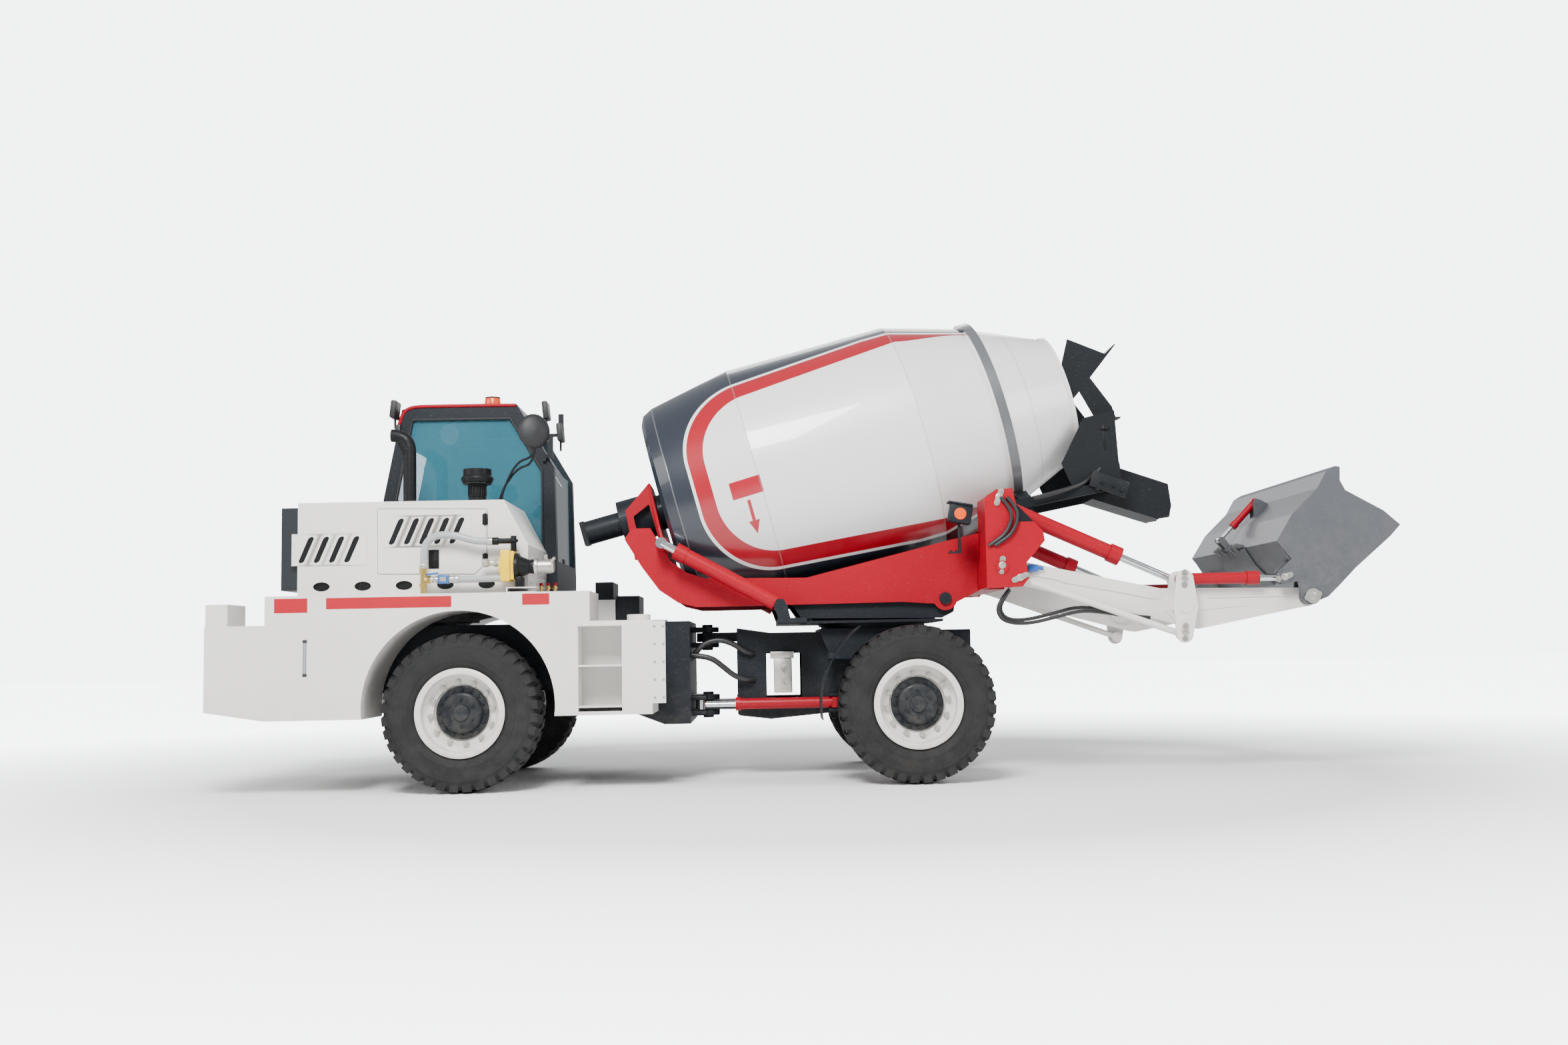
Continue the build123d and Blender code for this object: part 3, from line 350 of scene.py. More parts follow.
black_steel = painted_plate("black_steel", (0.004, 0.0045, 0.005), 0.5, dust=0.12, coat=0.05)
hub_slate = painted_plate("hub_slate", (0.008, 0.011, 0.015), 0.5, dust=0.10, coat=0.05, dust_height=1.4)
lamp_orange = painted_plate("lamp_orange", (0.85, 0.08, 0.0), 0.15, dust=0.0, coat=0.8)
valve_blue = painted_plate("valve_blue", (0.02, 0.12, 0.42), 0.35, dust=0.2, dust_height=2.0)
print("painted finishes", len([m for m in bpy.data.materials if "paint" in m.name]))

# %% [markdown]
# Bare metals differ from paint: their colour is in the reflection. Chrome rods are almost
# mirrors with faint lengthwise streaks, and zinc plating is duller, slightly yellow and
# blotchy.

# %% Chrome, zinc and brass
def bare_metal(name, colour, roughness, streaks=0.05):
    """Polished or plated metal with a cloudy sheen."""
    finish, tree, shader, wear = new_finish(name)
    wear.inputs["Cloud Size"].default_value = 14.0
    base = blended(tree, wear.outputs["Cloud"], tuple(part * 0.82 for part in colour), colour)
    tree.links.new(base, shader.inputs["Base Color"])
    rough = sum_of(tree, "MULTIPLY_ADD", wear.outputs["Cloud"], 0.12, roughness)
    rough = sum_of(tree, "MULTIPLY_ADD", wear.outputs["Scratch"], streaks, rough)
    tree.links.new(rough, shader.inputs["Roughness"])
    shader.inputs["Metallic"].default_value = 1.0
    return finish


chrome = bare_metal("chrome_rod", (0.80, 0.81, 0.83), 0.07)
zinc = bare_metal("zinc_plate", (0.60, 0.59, 0.54), 0.34)
brass = bare_metal("brass_fitting", (0.72, 0.50, 0.16), 0.26)

# %% [markdown]
# Rubber is dull and nearly black, greyer where dust has rubbed in. Hose rubber is the
# same, only blacker and a little shinier.

# %% Rubber, glass and plastic
def rubber(name, colour, roughness, dust):
    """Black rubber, dusted."""
    finish, tree, shader, wear = new_finish(name)
    wear.inputs["Dust Height"].default_value = 1.6
    base = blended(tree, sum_of(tree, "MULTIPLY", wear.outputs["Dust"], dust), colour, (0.16, 0.145, 0.12))
    tree.links.new(base, shader.inputs["Base Color"])
    rough = sum_of(tree, "MULTIPLY_ADD", wear.outputs["Cloud"], 0.12, roughness)
    tree.links.new(rough, shader.inputs["Roughness"])
    add_bump(tree, shader, wear.outputs["Grain"], 0.2)
    return finish


tyre_rubber = rubber("tyre_rubber", (0.003, 0.003, 0.0035), 0.75, 0.06)
hose_rubber = rubber("hose_rubber", (0.012, 0.012, 0.013), 0.36, 0.12)
trim_plastic = rubber("trim_plastic", (0.006, 0.006, 0.007), 0.5, 0.05)
clear_hose = rubber("water_hose_grey", (0.34, 0.35, 0.355), 0.22, 0.1)

cab_glass = bpy.data.materials.new("cab_glass")
cab_glass.use_nodes = True
glass_tree = cab_glass.node_tree
glass_shader = glass_tree.nodes["Principled BSDF"]
glass_wear = add_node(glass_tree, "ShaderNodeGroup", node_tree=wear_group)
glass_tree.links.new(
    blended(glass_tree, glass_wear.outputs["Cloud"], (0.03, 0.17, 0.24), (0.06, 0.23, 0.30)),
    glass_shader.inputs["Base Color"],
)
glass_rough = ramp(glass_tree, glass_wear.outputs["Cloud"], 0.0, 1.0, 0.02, 0.05)
glass_tree.links.new(glass_rough, glass_shader.inputs["Roughness"])
glass_shader.inputs["Transmission Weight"].default_value = 0.0
glass_shader.inputs["Alpha"].default_value = 0.42
glass_shader.inputs["Coat Weight"].default_value = 1.0
cab_glass.surface_render_method = "BLENDED"

# %% [markdown]
# The drum is painted before it is mounted: a slate base, a cream panel on the side, a
# crimson band round the panel and a thin cream line outside the band. The paint follows
# the drum, so it is worked out in the drum's own directions: how far along the axis, and
# how high above it. The Mapping node turns Object coordinates that way.

# %% Drum paint
drum_finish, drum_tree, drum_shader, drum_wear = new_finish("drum_paint_bands")
drum_centre = (0.522, 0.0, 2.52)
drum_slope = radians(15)
drum_place = add_node(drum_tree, "ShaderNodeTexCoord").outputs["Object"]
drum_turn = add_node(drum_tree, "ShaderNodeMapping", vector_type="TEXTURE")
drum_turn.inputs["Location"].default_value = drum_centre
drum_turn.inputs["Rotation"].default_value = (0, -drum_slope, 0)
drum_tree.links.new(drum_place, drum_turn.inputs["Vector"])
drum_axes = add_node(drum_tree, "ShaderNodeSeparateXYZ")
drum_tree.links.new(drum_turn.outputs[0], drum_axes.inputs[0])
drum_along = drum_axes.outputs["X"]
drum_up = drum_axes.outputs["Z"]
drum_high = sum_of(drum_tree, "ABSOLUTE", drum_up)
drum_round = sum_of(drum_tree, "SQRT", sum_of(
    drum_tree, "ADD", sum_of(drum_tree, "MULTIPLY", drum_up, drum_up),
    sum_of(drum_tree, "MULTIPLY", drum_axes.outputs["Y"], drum_axes.outputs["Y"]),
))


def rounded_end(tree, edge, half_height, corner):
    """How far outside a panel with a rounded rear end a point lies."""
    beyond = sum_of(tree, "SUBTRACT", edge + corner, drum_along)
    above = sum_of(tree, "SUBTRACT", drum_high, sum_of(tree, "SUBTRACT", half_height, corner))
    beyond_only = sum_of(tree, "MAXIMUM", beyond, 0.0)
    above_only = sum_of(tree, "MAXIMUM", above, 0.0)
    length = sum_of(tree, "SQRT", sum_of(
        tree, "ADD", sum_of(tree, "MULTIPLY", beyond_only, beyond_only),
        sum_of(tree, "MULTIPLY", above_only, above_only),
    ))
    inner = sum_of(tree, "MINIMUM", sum_of(tree, "MAXIMUM", beyond, above), 0.0)
    return sum_of(tree, "ADD", sum_of(tree, "SUBTRACT", length, corner), inner)


widening = sum_of(drum_tree, "MULTIPLY_ADD", drum_along, 0.082, 0.672)
panel_share = ramp(drum_tree, drum_along, 0.34, 0.90, 0.757, 0.835)
panel_half = sum_of(drum_tree, "MINIMUM", widening, sum_of(drum_tree, "MULTIPLY", drum_round, panel_share))
band_wide = sum_of(drum_tree, "ADD", widening, 0.112)
band_most = sum_of(drum_tree, "MULTIPLY", drum_round, 0.85)
band_half = sum_of(drum_tree, "MINIMUM", band_wide, band_most)
panel_far = rounded_end(drum_tree, -1.285, panel_half, 0.40)
band_far = rounded_end(drum_tree, -1.405, band_half, 0.48)
line_far = rounded_end(drum_tree, -1.428, sum_of(drum_tree, "ADD", band_half, 0.020), 0.49)
edge_soft = 0.0012
inside_panel = ramp(drum_tree, panel_far, -edge_soft, edge_soft, 1.0, 0.0)
inside_band = ramp(drum_tree, band_far, -edge_soft, edge_soft, 1.0, 0.0)
inside_line = ramp(drum_tree, line_far, -edge_soft, edge_soft, 1.0, 0.0)
ahead_of_ring = ramp(drum_tree, drum_along, 0.972, 0.976)
cream_tone = blended(drum_tree, drum_wear.outputs["Cloud"], (0.72, 0.715, 0.70), (0.80, 0.795, 0.78))
slate_tone = blended(drum_tree, drum_wear.outputs["Cloud"], (0.012, 0.016, 0.024), (0.018, 0.023, 0.034))
crimson_tone = blended(drum_tree, drum_wear.outputs["Cloud"], (0.29, 0.0, 0.009), full_crimson)
drum_colour = blended(drum_tree, inside_line, slate_tone, cream_tone)
drum_colour = blended(drum_tree, inside_band, drum_colour, crimson_tone)
drum_colour = blended(drum_tree, inside_panel, drum_colour, cream_tone)
drum_colour = blended(drum_tree, ahead_of_ring, drum_colour, cream_tone)

# %% [markdown]
# Two small marks stand on the panel: a plain crimson label and an arrow that shows which
# way the drum turns to unload. Both are drawn with the same distances as the band. The
# rolled sheets are welded where the drum changes its taper, which leaves thin lines.

# %% Drum marks and welds
def box_mask(tree, across, up, centre, half, lean=0.0):
    """A mask that is 1 inside an upright box."""
    side = sum_of(tree, "SUBTRACT", across, centre[0])
    rise = sum_of(tree, "SUBTRACT", up, centre[1])
    side = sum_of(tree, "MULTIPLY_ADD", rise, lean, side)
    wide = ramp(tree, sum_of(tree, "ABSOLUTE", side), half[0] - 0.001, half[0] + 0.001, 1.0, 0.0)
    tall = ramp(tree, sum_of(tree, "ABSOLUTE", rise), half[1] - 0.001, half[1] + 0.001, 1.0, 0.0)
    return sum_of(tree, "MULTIPLY", wide, tall)


label_middle, label_half = (-1.040, -0.094), (0.118, 0.064)
arrow_x, arrow_tip_z = -1.048, -0.437
near_side = ramp(drum_tree, drum_axes.outputs["Y"], -0.01, 0.01, 1.0, 0.0)
label = box_mask(drum_tree, drum_along, drum_up, label_middle, label_half)
arrow_stem = box_mask(drum_tree, drum_along, drum_up, (arrow_x, -0.270), (0.013, 0.085))
head_rise = sum_of(drum_tree, "SUBTRACT", drum_up, arrow_tip_z)
head_side = sum_of(drum_tree, "ABSOLUTE", sum_of(drum_tree, "SUBTRACT", drum_along, arrow_x))
head_half = sum_of(drum_tree, "MULTIPLY", head_rise, 0.42)
head_in = ramp(drum_tree, sum_of(drum_tree, "SUBTRACT", head_half, head_side), -0.001, 0.001)
head_top = ramp(drum_tree, head_rise, 0.098, 0.100, 1.0, 0.0)
arrow_head = sum_of(drum_tree, "MULTIPLY", head_in, head_top)
marks = sum_of(drum_tree, "MAXIMUM", label, sum_of(drum_tree, "MAXIMUM", arrow_stem, arrow_head))
marks = sum_of(drum_tree, "MULTIPLY", marks, near_side)
drum_colour = blended(drum_tree, marks, drum_colour, full_crimson)
weld_places = (-0.93, 0.34, -1.57, 1.22)
weld_mask = 0.0
for weld_place in weld_places:
    weld = sum_of(drum_tree, "ABSOLUTE", sum_of(drum_tree, "SUBTRACT", drum_along, weld_place))
    weld_mask = sum_of(drum_tree, "MAXIMUM", ramp(drum_tree, weld, 0.002, 0.007, 1.0, 0.0), weld_mask)
weld_tint = sum_of(drum_tree, "MULTIPLY", weld_mask, 0.35)
drum_colour = blended(drum_tree, weld_tint, drum_colour, (0.25, 0.25, 0.25))
on_ring = sum_of(
    drum_tree, "MULTIPLY", ramp(drum_tree, drum_round, 0.775, 0.777),
    box_mask(drum_tree, drum_along, drum_round, (0.975, 0.79), (0.036, 0.03)),
)
drum_colour = blended(drum_tree, on_ring, drum_colour, (0.10, 0.105, 0.11))
scratch_tint = sum_of(drum_tree, "MULTIPLY", drum_wear.outputs["Scratch"], 0.05)
drum_colour = blended(drum_tree, scratch_tint, drum_colour, (0.5, 0.5, 0.5))
drum_tree.links.new(drum_colour, drum_shader.inputs["Base Color"])
drum_rough = sum_of(drum_tree, "MULTIPLY_ADD", drum_wear.outputs["Cloud"], 0.1, 0.26)
drum_tree.links.new(drum_rough, drum_shader.inputs["Roughness"])
drum_shader.inputs["Coat Weight"].default_value = 0.4
weld_relief = sum_of(drum_tree, "MULTIPLY", weld_mask, 2.0)
grain_relief = sum_of(drum_tree, "MULTIPLY", drum_wear.outputs["Grain"], 0.1)
drum_relief = sum_of(drum_tree, "ADD", weld_relief, grain_relief)
add_bump(drum_tree, drum_shader, drum_relief, 0.35, 0.002)
print("drum tree nodes", len(drum_tree.nodes))

# %% [markdown]
# A solid keeps its shape and only gets its finish. A table from node name to finish is
# easier to read and to change than a line for each.

# %% Dress the solids
solid_finishes = {
    "rear_chassis": slate_paint, "side_tank_right": cream_paint, "side_tank_left": cream_paint,
    "counterweight": cream_paint, "engine": engine_black, "hood": cream_paint,
    "exhaust_and_air_cap": black_steel, "cab_shell": slate_paint, "cab_glass": cab_glass,
    "cab_inside": trim_plastic, "cab_door": slate_paint, "pump_set": pump_yellow,
    "deck_boxes": slate_paint, "front_chassis": slate_paint, "slew_frame": slate_paint,
    "drum_frame": crimson_paint, "drum_gearbox": slate_paint, "hopper_and_chute": hopper_slate,
    "drum": drum_finish, "drum_lift_barrels": crimson_paint, "drum_lift_rods": chrome,
    "loader_arm": cream_paint, "bellcranks": cream_paint, "level_links": cream_paint,
    "arm_lift_barrels": crimson_paint, "arm_lift_rods": chrome,
    "bucket_tilt_barrels": crimson_paint, "bucket_tilt_rods": chrome, "bucket_pins": zinc,
    "bucket": bucket_grey, "bucket_gate": bucket_grey, "gate_barrel": crimson_paint, "gate_rod": chrome,
}
for corner in ("rear_right", "rear_left", "front_right", "front_left"):
    solid_finishes[f"tyre_{corner}"] = tyre_rubber
    solid_finishes[f"rim_{corner}"] = wheel_cream
for side in ("right", "left"):
    solid_finishes[f"steering_barrel_{side}"] = crimson_paint
    solid_finishes[f"steering_rod_{side}"] = chrome
for node_name, finish in solid_finishes.items():
    solid_mesh = solids[node_name].data
    solid_mesh.materials.clear()
    solid_mesh.materials.append(finish)
print("dressed", len(solid_finishes), "of", len(solids))

# %% [markdown]
# New pieces start as a small bmesh shape that operators extend. Four helpers cover most
# of the machine: a block, a round bar between two points, a hexagon bolt head and a
# shape that is spun from a short section. Each adds to a shape that is already open, so
# that a row of bolts becomes one light piece.

# %% Shape helpers
def add_block(shape, low, high, edge=0.0, turn=None):
    """A block between two corners, with softened edges."""
    centre = (Vector(low) + Vector(high)) / 2
    size = Vector(high) - Vector(low)
    place = Matrix.Translation(centre) @ (turn or Matrix.Identity(4)) @ Matrix.Diagonal((*size, 1))
    made = bmesh.ops.create_cube(shape, size=1.0, matrix=place)
    if edge:
        edges = {e for v in made["verts"] for e in v.link_edges}
        bmesh.ops.bevel(
            shape, geom=list(edges), offset=edge, segments=2, profile=0.5, affect="EDGES", material=-1,
        )
    return made


def aim(direction):
    """The turn that carries +Z onto a direction."""
    return Vector(direction).to_track_quat("Z", "Y").to_matrix().to_4x4()


def add_round(shape, start, end, radius, end_radius=None, sides=20, edge=0.0):
    """A round bar or cone between two points."""
    start, end = Vector(start), Vector(end)
    place = Matrix.Translation((start + end) / 2) @ aim(end - start)
    made = bmesh.ops.create_cone(
        shape, cap_ends=True, segments=sides, radius1=radius,
        radius2=radius if end_radius is None else end_radius, depth=(end - start).length, matrix=place,
    )
    if edge:
        touched = {e for v in made["verts"] for e in v.link_edges}
        rims = [e for e in touched if any(len(f.verts) > 4 for f in e.link_faces)]
        bmesh.ops.bevel(shape, geom=rims, offset=edge, segments=2, profile=0.5, affect="EDGES", material=-1)
    return made


def add_bolt(shape, place, direction, across=0.024, height=0.012):
    """A hexagon head on a round washer."""
    place, direction = Vector(place), Vector(direction).normalized()
    add_round(shape, place - direction * 0.002, place + direction * 0.003, across * 0.78, sides=14)
    low, top = place + direction * 0.003, place + direction * height
    add_round(shape, low, top, across * 0.56, across * 0.50, sides=6)
    add_round(shape, top, place + direction * (height + 0.005), across * 0.28, sides=8)


def add_spun(shape, centre, axis, section, steps=48):
    """A round form spun from (place along the axis, radius) pairs."""
    turn = Matrix.Translation(centre) @ aim(axis)
    corners = [shape.verts.new(turn @ Vector((radius, 0, along))) for along, radius in section]
    edges = [shape.edges.new(pair) for pair in zip(corners, corners[1:])]
    return bmesh.ops.spin(
        shape, geom=corners + edges, cent=centre, axis=axis, angle=2 * pi, steps=steps, use_merge=True,
    )


def finish_piece(shape, name, body, finish, smooth=40):
    """Turn a shape into a piece that rides on a body."""
    bmesh.ops.remove_doubles(shape, verts=shape.verts, dist=0.00001)
    bmesh.ops.recalc_face_normals(shape, faces=shape.faces)
    mesh = bpy.data.meshes.new(name)
    shape.to_mesh(mesh)
    shape.free()
    mesh.materials.append(finish)
    mesh.shade_smooth()
    mesh.set_sharp_from_angle(angle=radians(smooth))
    piece = bpy.data.objects.new(name, mesh)
    bpy.context.collection.objects.link(piece)
    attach(piece, body)
    return piece


# %% [markdown]
# The machine stands on wide truck tyres with a block tread. A real tyre is a carcass with
# a rounded sidewall, raised rings, and separate blocks that reach down the shoulder. The
# carcass is spun from half of its section and mirrored, and one block is cut, softened
# and repeated round the wheel. The result stands for the plain solid tyre.

# %% Tyres
wheel_places = [
    # body and corner name, axle x, side
    ("rear_right", -2.5, -1),
    ("rear_left", -2.5, 1),
    ("front_right", 0.74, -1),
    ("front_left", 0.74, 1),
]
axle_height = 0.565
tyre_middle = 1.0
tread_count = 36
carcass = [
    # along the axle, radius
    (0.153, 0.2876), (0.166, 0.300), (0.172, 0.322), (0.186, 0.334), (0.190, 0.345), (0.1955, 0.372),
    (0.1975, 0.374), (0.1985, 0.390), (0.1965, 0.392), (0.1985, 0.415), (0.1990, 0.440), (0.1970, 0.462),
    (0.1985, 0.464), (0.1975, 0.480), (0.1945, 0.482), (0.188, 0.505), (0.176, 0.527), (0.160, 0.541),
    (0.120, 0.547), (0.0, 0.549),
]
tread_top = 0.5648
block_height = 0.032
tread_rows = [
    # middle across, half width, length, lean
    (0.140, 0.052, 0.062, 0.10),
    (-0.140, 0.052, 0.062, -0.10),
    (0.043, 0.034, 0.066, 0.35),
    (-0.043, 0.034, 0.066, 0.35),
]


for corner, axle_x, side in wheel_places:
    centre = Vector((axle_x, side * tyre_middle, axle_height))
    shape = bmesh.new()
    section = carcass + [(-along, radius) for along, radius in reversed(carcass[:-1])]
    add_spun(shape, centre, (0, 1, 0), section, steps=72)
    for row, (across, half, length, lean) in enumerate(tread_rows):
        single = bmesh.new()
        block_size = Matrix.Diagonal((length, 2 * half, block_height, 1))
        bmesh.ops.create_cube(single, size=1.0, matrix=block_size)
        upper = [e for e in single.edges if all(v.co.z > 0 for v in e.verts)]
        bmesh.ops.bevel(
            single, geom=upper, offset=0.004, segments=1, profile=0.5, affect="EDGES", material=-1,
        )
        if row < 2:
            outer = [v for v in single.verts if v.co.y * across > 0 and abs(v.co.y) > half - 0.006]
            bmesh.ops.translate(single, verts=outer, vec=(0, 0, -0.012))
            lowest = [v for v in outer if v.co.z < -0.02]
            bmesh.ops.translate(single, verts=lowest, vec=(0, 0, -0.022))
        bmesh.ops.rotate(single, verts=single.verts, cent=(0, 0, 0), matrix=Matrix.Rotation(lean, 3, "Z"))
        reach = sqrt(tread_top ** 2 - (length / 2) ** 2) - 0.0005
        bmesh.ops.translate(single, verts=single.verts, vec=(0, across, reach - block_height / 2))
        block_mesh = bpy.data.meshes.new("tread_block")
        single.to_mesh(block_mesh)
        single.free()
        for place in range(tread_count):
            angle = 2 * pi * (place + 0.5 * (row % 2)) / tread_count
            turned = block_mesh.copy()
            turned.transform(Matrix.Translation(centre) @ Matrix.Rotation(angle, 4, "Y"))
            shape.from_mesh(turned)
            bpy.data.meshes.remove(turned)
        bpy.data.meshes.remove(block_mesh)
    tyre = finish_piece(shape, f"treaded_tyre_{corner}", f"wheel_{corner}", tyre_rubber)
    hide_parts(f"tyre_{corner}")
print("tyre triangles", sum(len(p.vertices) - 2 for p in tyre.data.polygons))

# %% [markdown]
# The rim is a deep cream dish. Twelve zinc nuts hold it to the hub, and a slate hub cover
# with its own ring of bolts closes the reduction gear. The cover is spun, because every
# step on it is round.

# %% Hubs, nuts and rim lips
def add_bolt_ring(shape, centre, out, count, start, reach, radius, across, height):
    """A ring of bolts round an axle, each standing out along it."""
    for place in range(count):
        angle = 2 * pi * (place + start) / count
        spot = centre + out * reach + Vector((cos(angle) * radius, 0, sin(angle) * radius))
        add_bolt(shape, spot, out, across, height)


for corner, axle_x, side in wheel_places:
    centre = Vector((axle_x, side * tyre_middle, axle_height))
    out = Vector((0, side, 0))
    cover = bmesh.new()
    add_spun(cover, centre, out, [
        (0.058, 0.0001), (0.058, 0.186), (0.072, 0.190), (0.088, 0.186), (0.092, 0.176), (0.094, 0.150),
        (0.118, 0.144), (0.126, 0.136), (0.130, 0.118), (0.132, 0.060), (0.146, 0.056), (0.149, 0.046),
        (0.150, 0.0001),
    ], 56)
    add_bolt_ring(cover, centre, out, 16, 0, 0.093, 0.164, 0.019, 0.012)
    add_bolt_ring(cover, centre, out, 6, 0.5, 0.131, 0.094, 0.016, 0.010)
    finish_piece(cover, f"hub_cover_{corner}", f"wheel_{corner}", hub_slate)
    nuts = bmesh.new()
    add_bolt_ring(nuts, centre, out, 12, 0.25, 0.0905, 0.2215, 0.031, 0.026)
    air_valve_end = centre + out * 0.178 + Vector((0.20, 0, 0.168))
    air_valve_foot = centre + out * 0.12 + Vector((0.19, 0, 0.160))
    add_round(nuts, air_valve_end, air_valve_foot, 0.005, sides=8)
    finish_piece(nuts, f"wheel_nuts_{corner}", f"wheel_{corner}", zinc)
    lips = bmesh.new()
    add_spun(lips, centre, out, [
        (0.178, 0.2722), (0.1895, 0.2722), (0.1985, 0.276), (0.2, 0.288), (0.1995, 0.304), (0.193, 0.3175),
        (0.186, 0.3185), (0.1900, 0.310), (0.1900, 0.290), (0.178, 0.285),
    ], 72)
    finish_piece(lips, f"rim_lip_{corner}", f"wheel_{corner}", wheel_cream)
print("wheels dressed", len(wheel_places))

# %% [markdown]
# Rubber hoses and bent pipes are tubes along a smooth line. A NURBS curve with a round
# bevel gives the line and the wall, and it is turned into a mesh so that it can ride on a
# body like any other piece. The first and last points sit inside their fittings.

# %% Tube helper
def smooth_line(name, points, radius, sides=6):
    """A NURBS curve through a few given control points."""
    line = bpy.data.curves.new(name, "CURVE")
    line.dimensions = "3D"
    spline = line.splines.new("NURBS")
    spline.points.add(len(points) - 1)
    for control, point in zip(spline.points, points):
        control.co = (*point, 1)
    spline.order_u = 3
    spline.use_endpoint_u = True
    spline.resolution_u = 6
    line.bevel_depth = radius
    line.bevel_resolution = sides
    line.use_fill_caps = True
    return line


def line_length(points):
    """The length of the smooth line, read from its own NURBS curve."""
    line = smooth_line("measured_line", points, 0.0)
    probe = bpy.data.objects.new("measured_line", line)
    traced = bpy.data.meshes.new_from_object(probe)
    path = [vertex.co.copy() for vertex in traced.vertices]
    bpy.data.objects.remove(probe)
    bpy.data.meshes.remove(traced)
    bpy.data.curves.remove(line)
    return sum((b - a).length for a, b in zip(path, path[1:])), path


def add_tube(name, points, radius, body, finish, sides=6):
    """A tube along a smooth line, as a mesh piece."""
    line = smooth_line(name, points, radius, sides)
    source = bpy.data.objects.new(name + "_line", line)
    mesh = bpy.data.meshes.new_from_object(source)
    bpy.data.objects.remove(source)
    bpy.data.curves.remove(line)
    mesh.name = name
    mesh.materials.clear()
    mesh.materials.append(finish)
    mesh.shade_smooth()
    mesh.set_sharp_from_angle(angle=radians(50))
    piece = bpy.data.objects.new(name, mesh)
    bpy.context.collection.objects.link(piece)
    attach(piece, body)
    return piece


def add_sleeve(shape, start, end, radius, steps=3):
    """A crimped hose end: a sleeve with grooves and a nut."""
    start, end = Vector(start), Vector(end)
    way = end - start
    add_round(shape, start, start + way * 0.62, radius, sides=14, edge=0.001)
    add_round(shape, start + way * 0.62, end, radius * 0.92, sides=6)
    for step in range(steps):
        at = start + way * (0.12 + 0.16 * step)
        add_round(shape, at, at + way * 0.06, radius * 1.07, sides=14)


# %% [markdown]
# The hood is thin plate. Behind its slots the real one lies in shade, so a black screen
# stands a little way inside as painted shade. The service door gets its latch, its hinges
# and a dark seam round it.

# %% Hood fittings
# The black screen inside the hood is painted shade, seen through its openings.
screen = bmesh.new()
add_block(screen, (-3.690, -0.985, 1.43), (-2.25, -0.981, 2.075))
add_block(screen, (-3.700, -0.940, 1.47), (-3.692, -0.130, 2.045))
finish_piece(screen, "hood_dark_screen", "rear_frame", black_steel)
latch = bmesh.new()
add_block(latch, (-2.760, -1.0075, 1.598), (-2.684, -1.003, 1.735), 0.0015)
add_block(latch, (-2.742, -1.0115, 1.612), (-2.702, -1.006, 1.720), 0.0015)
for z in (1.66, 1.95):
    add_round(latch, (-2.352, -1.009, z - 0.045), (-2.352, -1.009, z + 0.045), 0.007, sides=12)
    add_block(latch, (-2.372, -1.0065, z - 0.04), (-2.332, -1.0035, z + 0.04), 0.001)
finish_piece(latch, "hood_latch_and_hinges", "rear_frame", black_steel)
seam = bmesh.new()
door_corners = [(-3.127, 2.038), (-2.342, 2.024), (-2.343, 1.640), (-2.430, 1.556), (-3.124, 1.569)]
for (x0, z0), (x1, z1) in zip(door_corners, door_corners[1:] + door_corners[:1]):
    add_round(seam, (x0, -1.0005, z0), (x1, -1.0005, z1), 0.0035, sides=6)
finish_piece(seam, "hood_door_seam", "rear_frame", black_steel)
print("hood fittings made")

# %% [markdown]
# The air cleaner's pre-cleaner is a mushroom: a ribbed neck under a domed cap with a
# turned-down lip. Beside it the exhaust leaves the hood and bends towards the rear.

# %% Air cap and exhaust bend
cap = bmesh.new()
cap_foot = Vector((-2.486, -0.6, 2.10))
add_spun(cap, cap_foot, (0, 0, 1), [
    (0.000, 0.078), (0.010, 0.082), (0.016, 0.064), (0.055, 0.064), (0.060, 0.070), (0.070, 0.070),
    (0.076, 0.064), (0.130, 0.064), (0.136, 0.072), (0.160, 0.074), (0.166, 0.112), (0.190, 0.121),
    (0.204, 0.118), (0.214, 0.106), (0.246, 0.092), (0.262, 0.066), (0.268, 0.030), (0.269, 0.0001),
], 40)
for place in range(20):
    angle = 2 * pi * place / 20
    low = cap_foot + Vector((cos(angle) * 0.066, sin(angle) * 0.066, 0.075))
    add_round(cap, low, low + Vector((0, 0, 0.056)), 0.005, sides=5)
finish_piece(cap, "air_cleaner_cap", "rear_frame", black_steel)
add_tube("exhaust_bend", [
    (-2.992, -0.60, 2.08), (-2.992, -0.60, 2.40), (-2.995, -0.60, 2.585), (-3.075, -0.60, 2.632),
    (-3.13, -0.60, 2.635),
], 0.0485, "rear_frame", black_steel, 8)

# %% [markdown]
# A water pump sits on the right tank. Its parts are bought in, so each has its own look:
# a yellow pump body with a thick flange, a black bell housing and a ribbed motor, all on
# one shaft line. The set stands for the plain blocks of the solid.

# %% Water pump
pump_y = -0.93
shaft_z = 1.602
outlet_z = 1.789
inlet_z = 1.521
tee_x = -2.806
body = bmesh.new()
add_block(body, (-2.246, pump_y - 0.085, 1.497), (-2.176, pump_y + 0.085, 1.722), 0.010)
add_block(body, (-2.176, pump_y - 0.075, 1.507), (-2.150, pump_y + 0.075, 1.712), 0.006)
add_round(body, (-2.262, pump_y, 1.605), (-2.246, pump_y, 1.605), 0.062, 0.070, sides=28, edge=0.003)
pump_body = finish_piece(body, "pump_yellow_body", "rear_frame", pump_yellow)
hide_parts("pump_set")
bell = bmesh.new()
add_round(bell, (-2.150, pump_y, shaft_z), (-2.118, pump_y, shaft_z), 0.100, 0.094, sides=28, edge=0.003)
add_round(bell, (-2.118, pump_y, shaft_z), (-2.040, pump_y, shaft_z), 0.080, 0.046, sides=28)
add_round(bell, (-2.040, pump_y, shaft_z), (-2.012, pump_y, shaft_z), 0.052, sides=28, edge=0.003)
add_block(bell, (-2.140, pump_y - 0.075, 1.448), (-2.095, pump_y + 0.075, 1.53), 0.006)
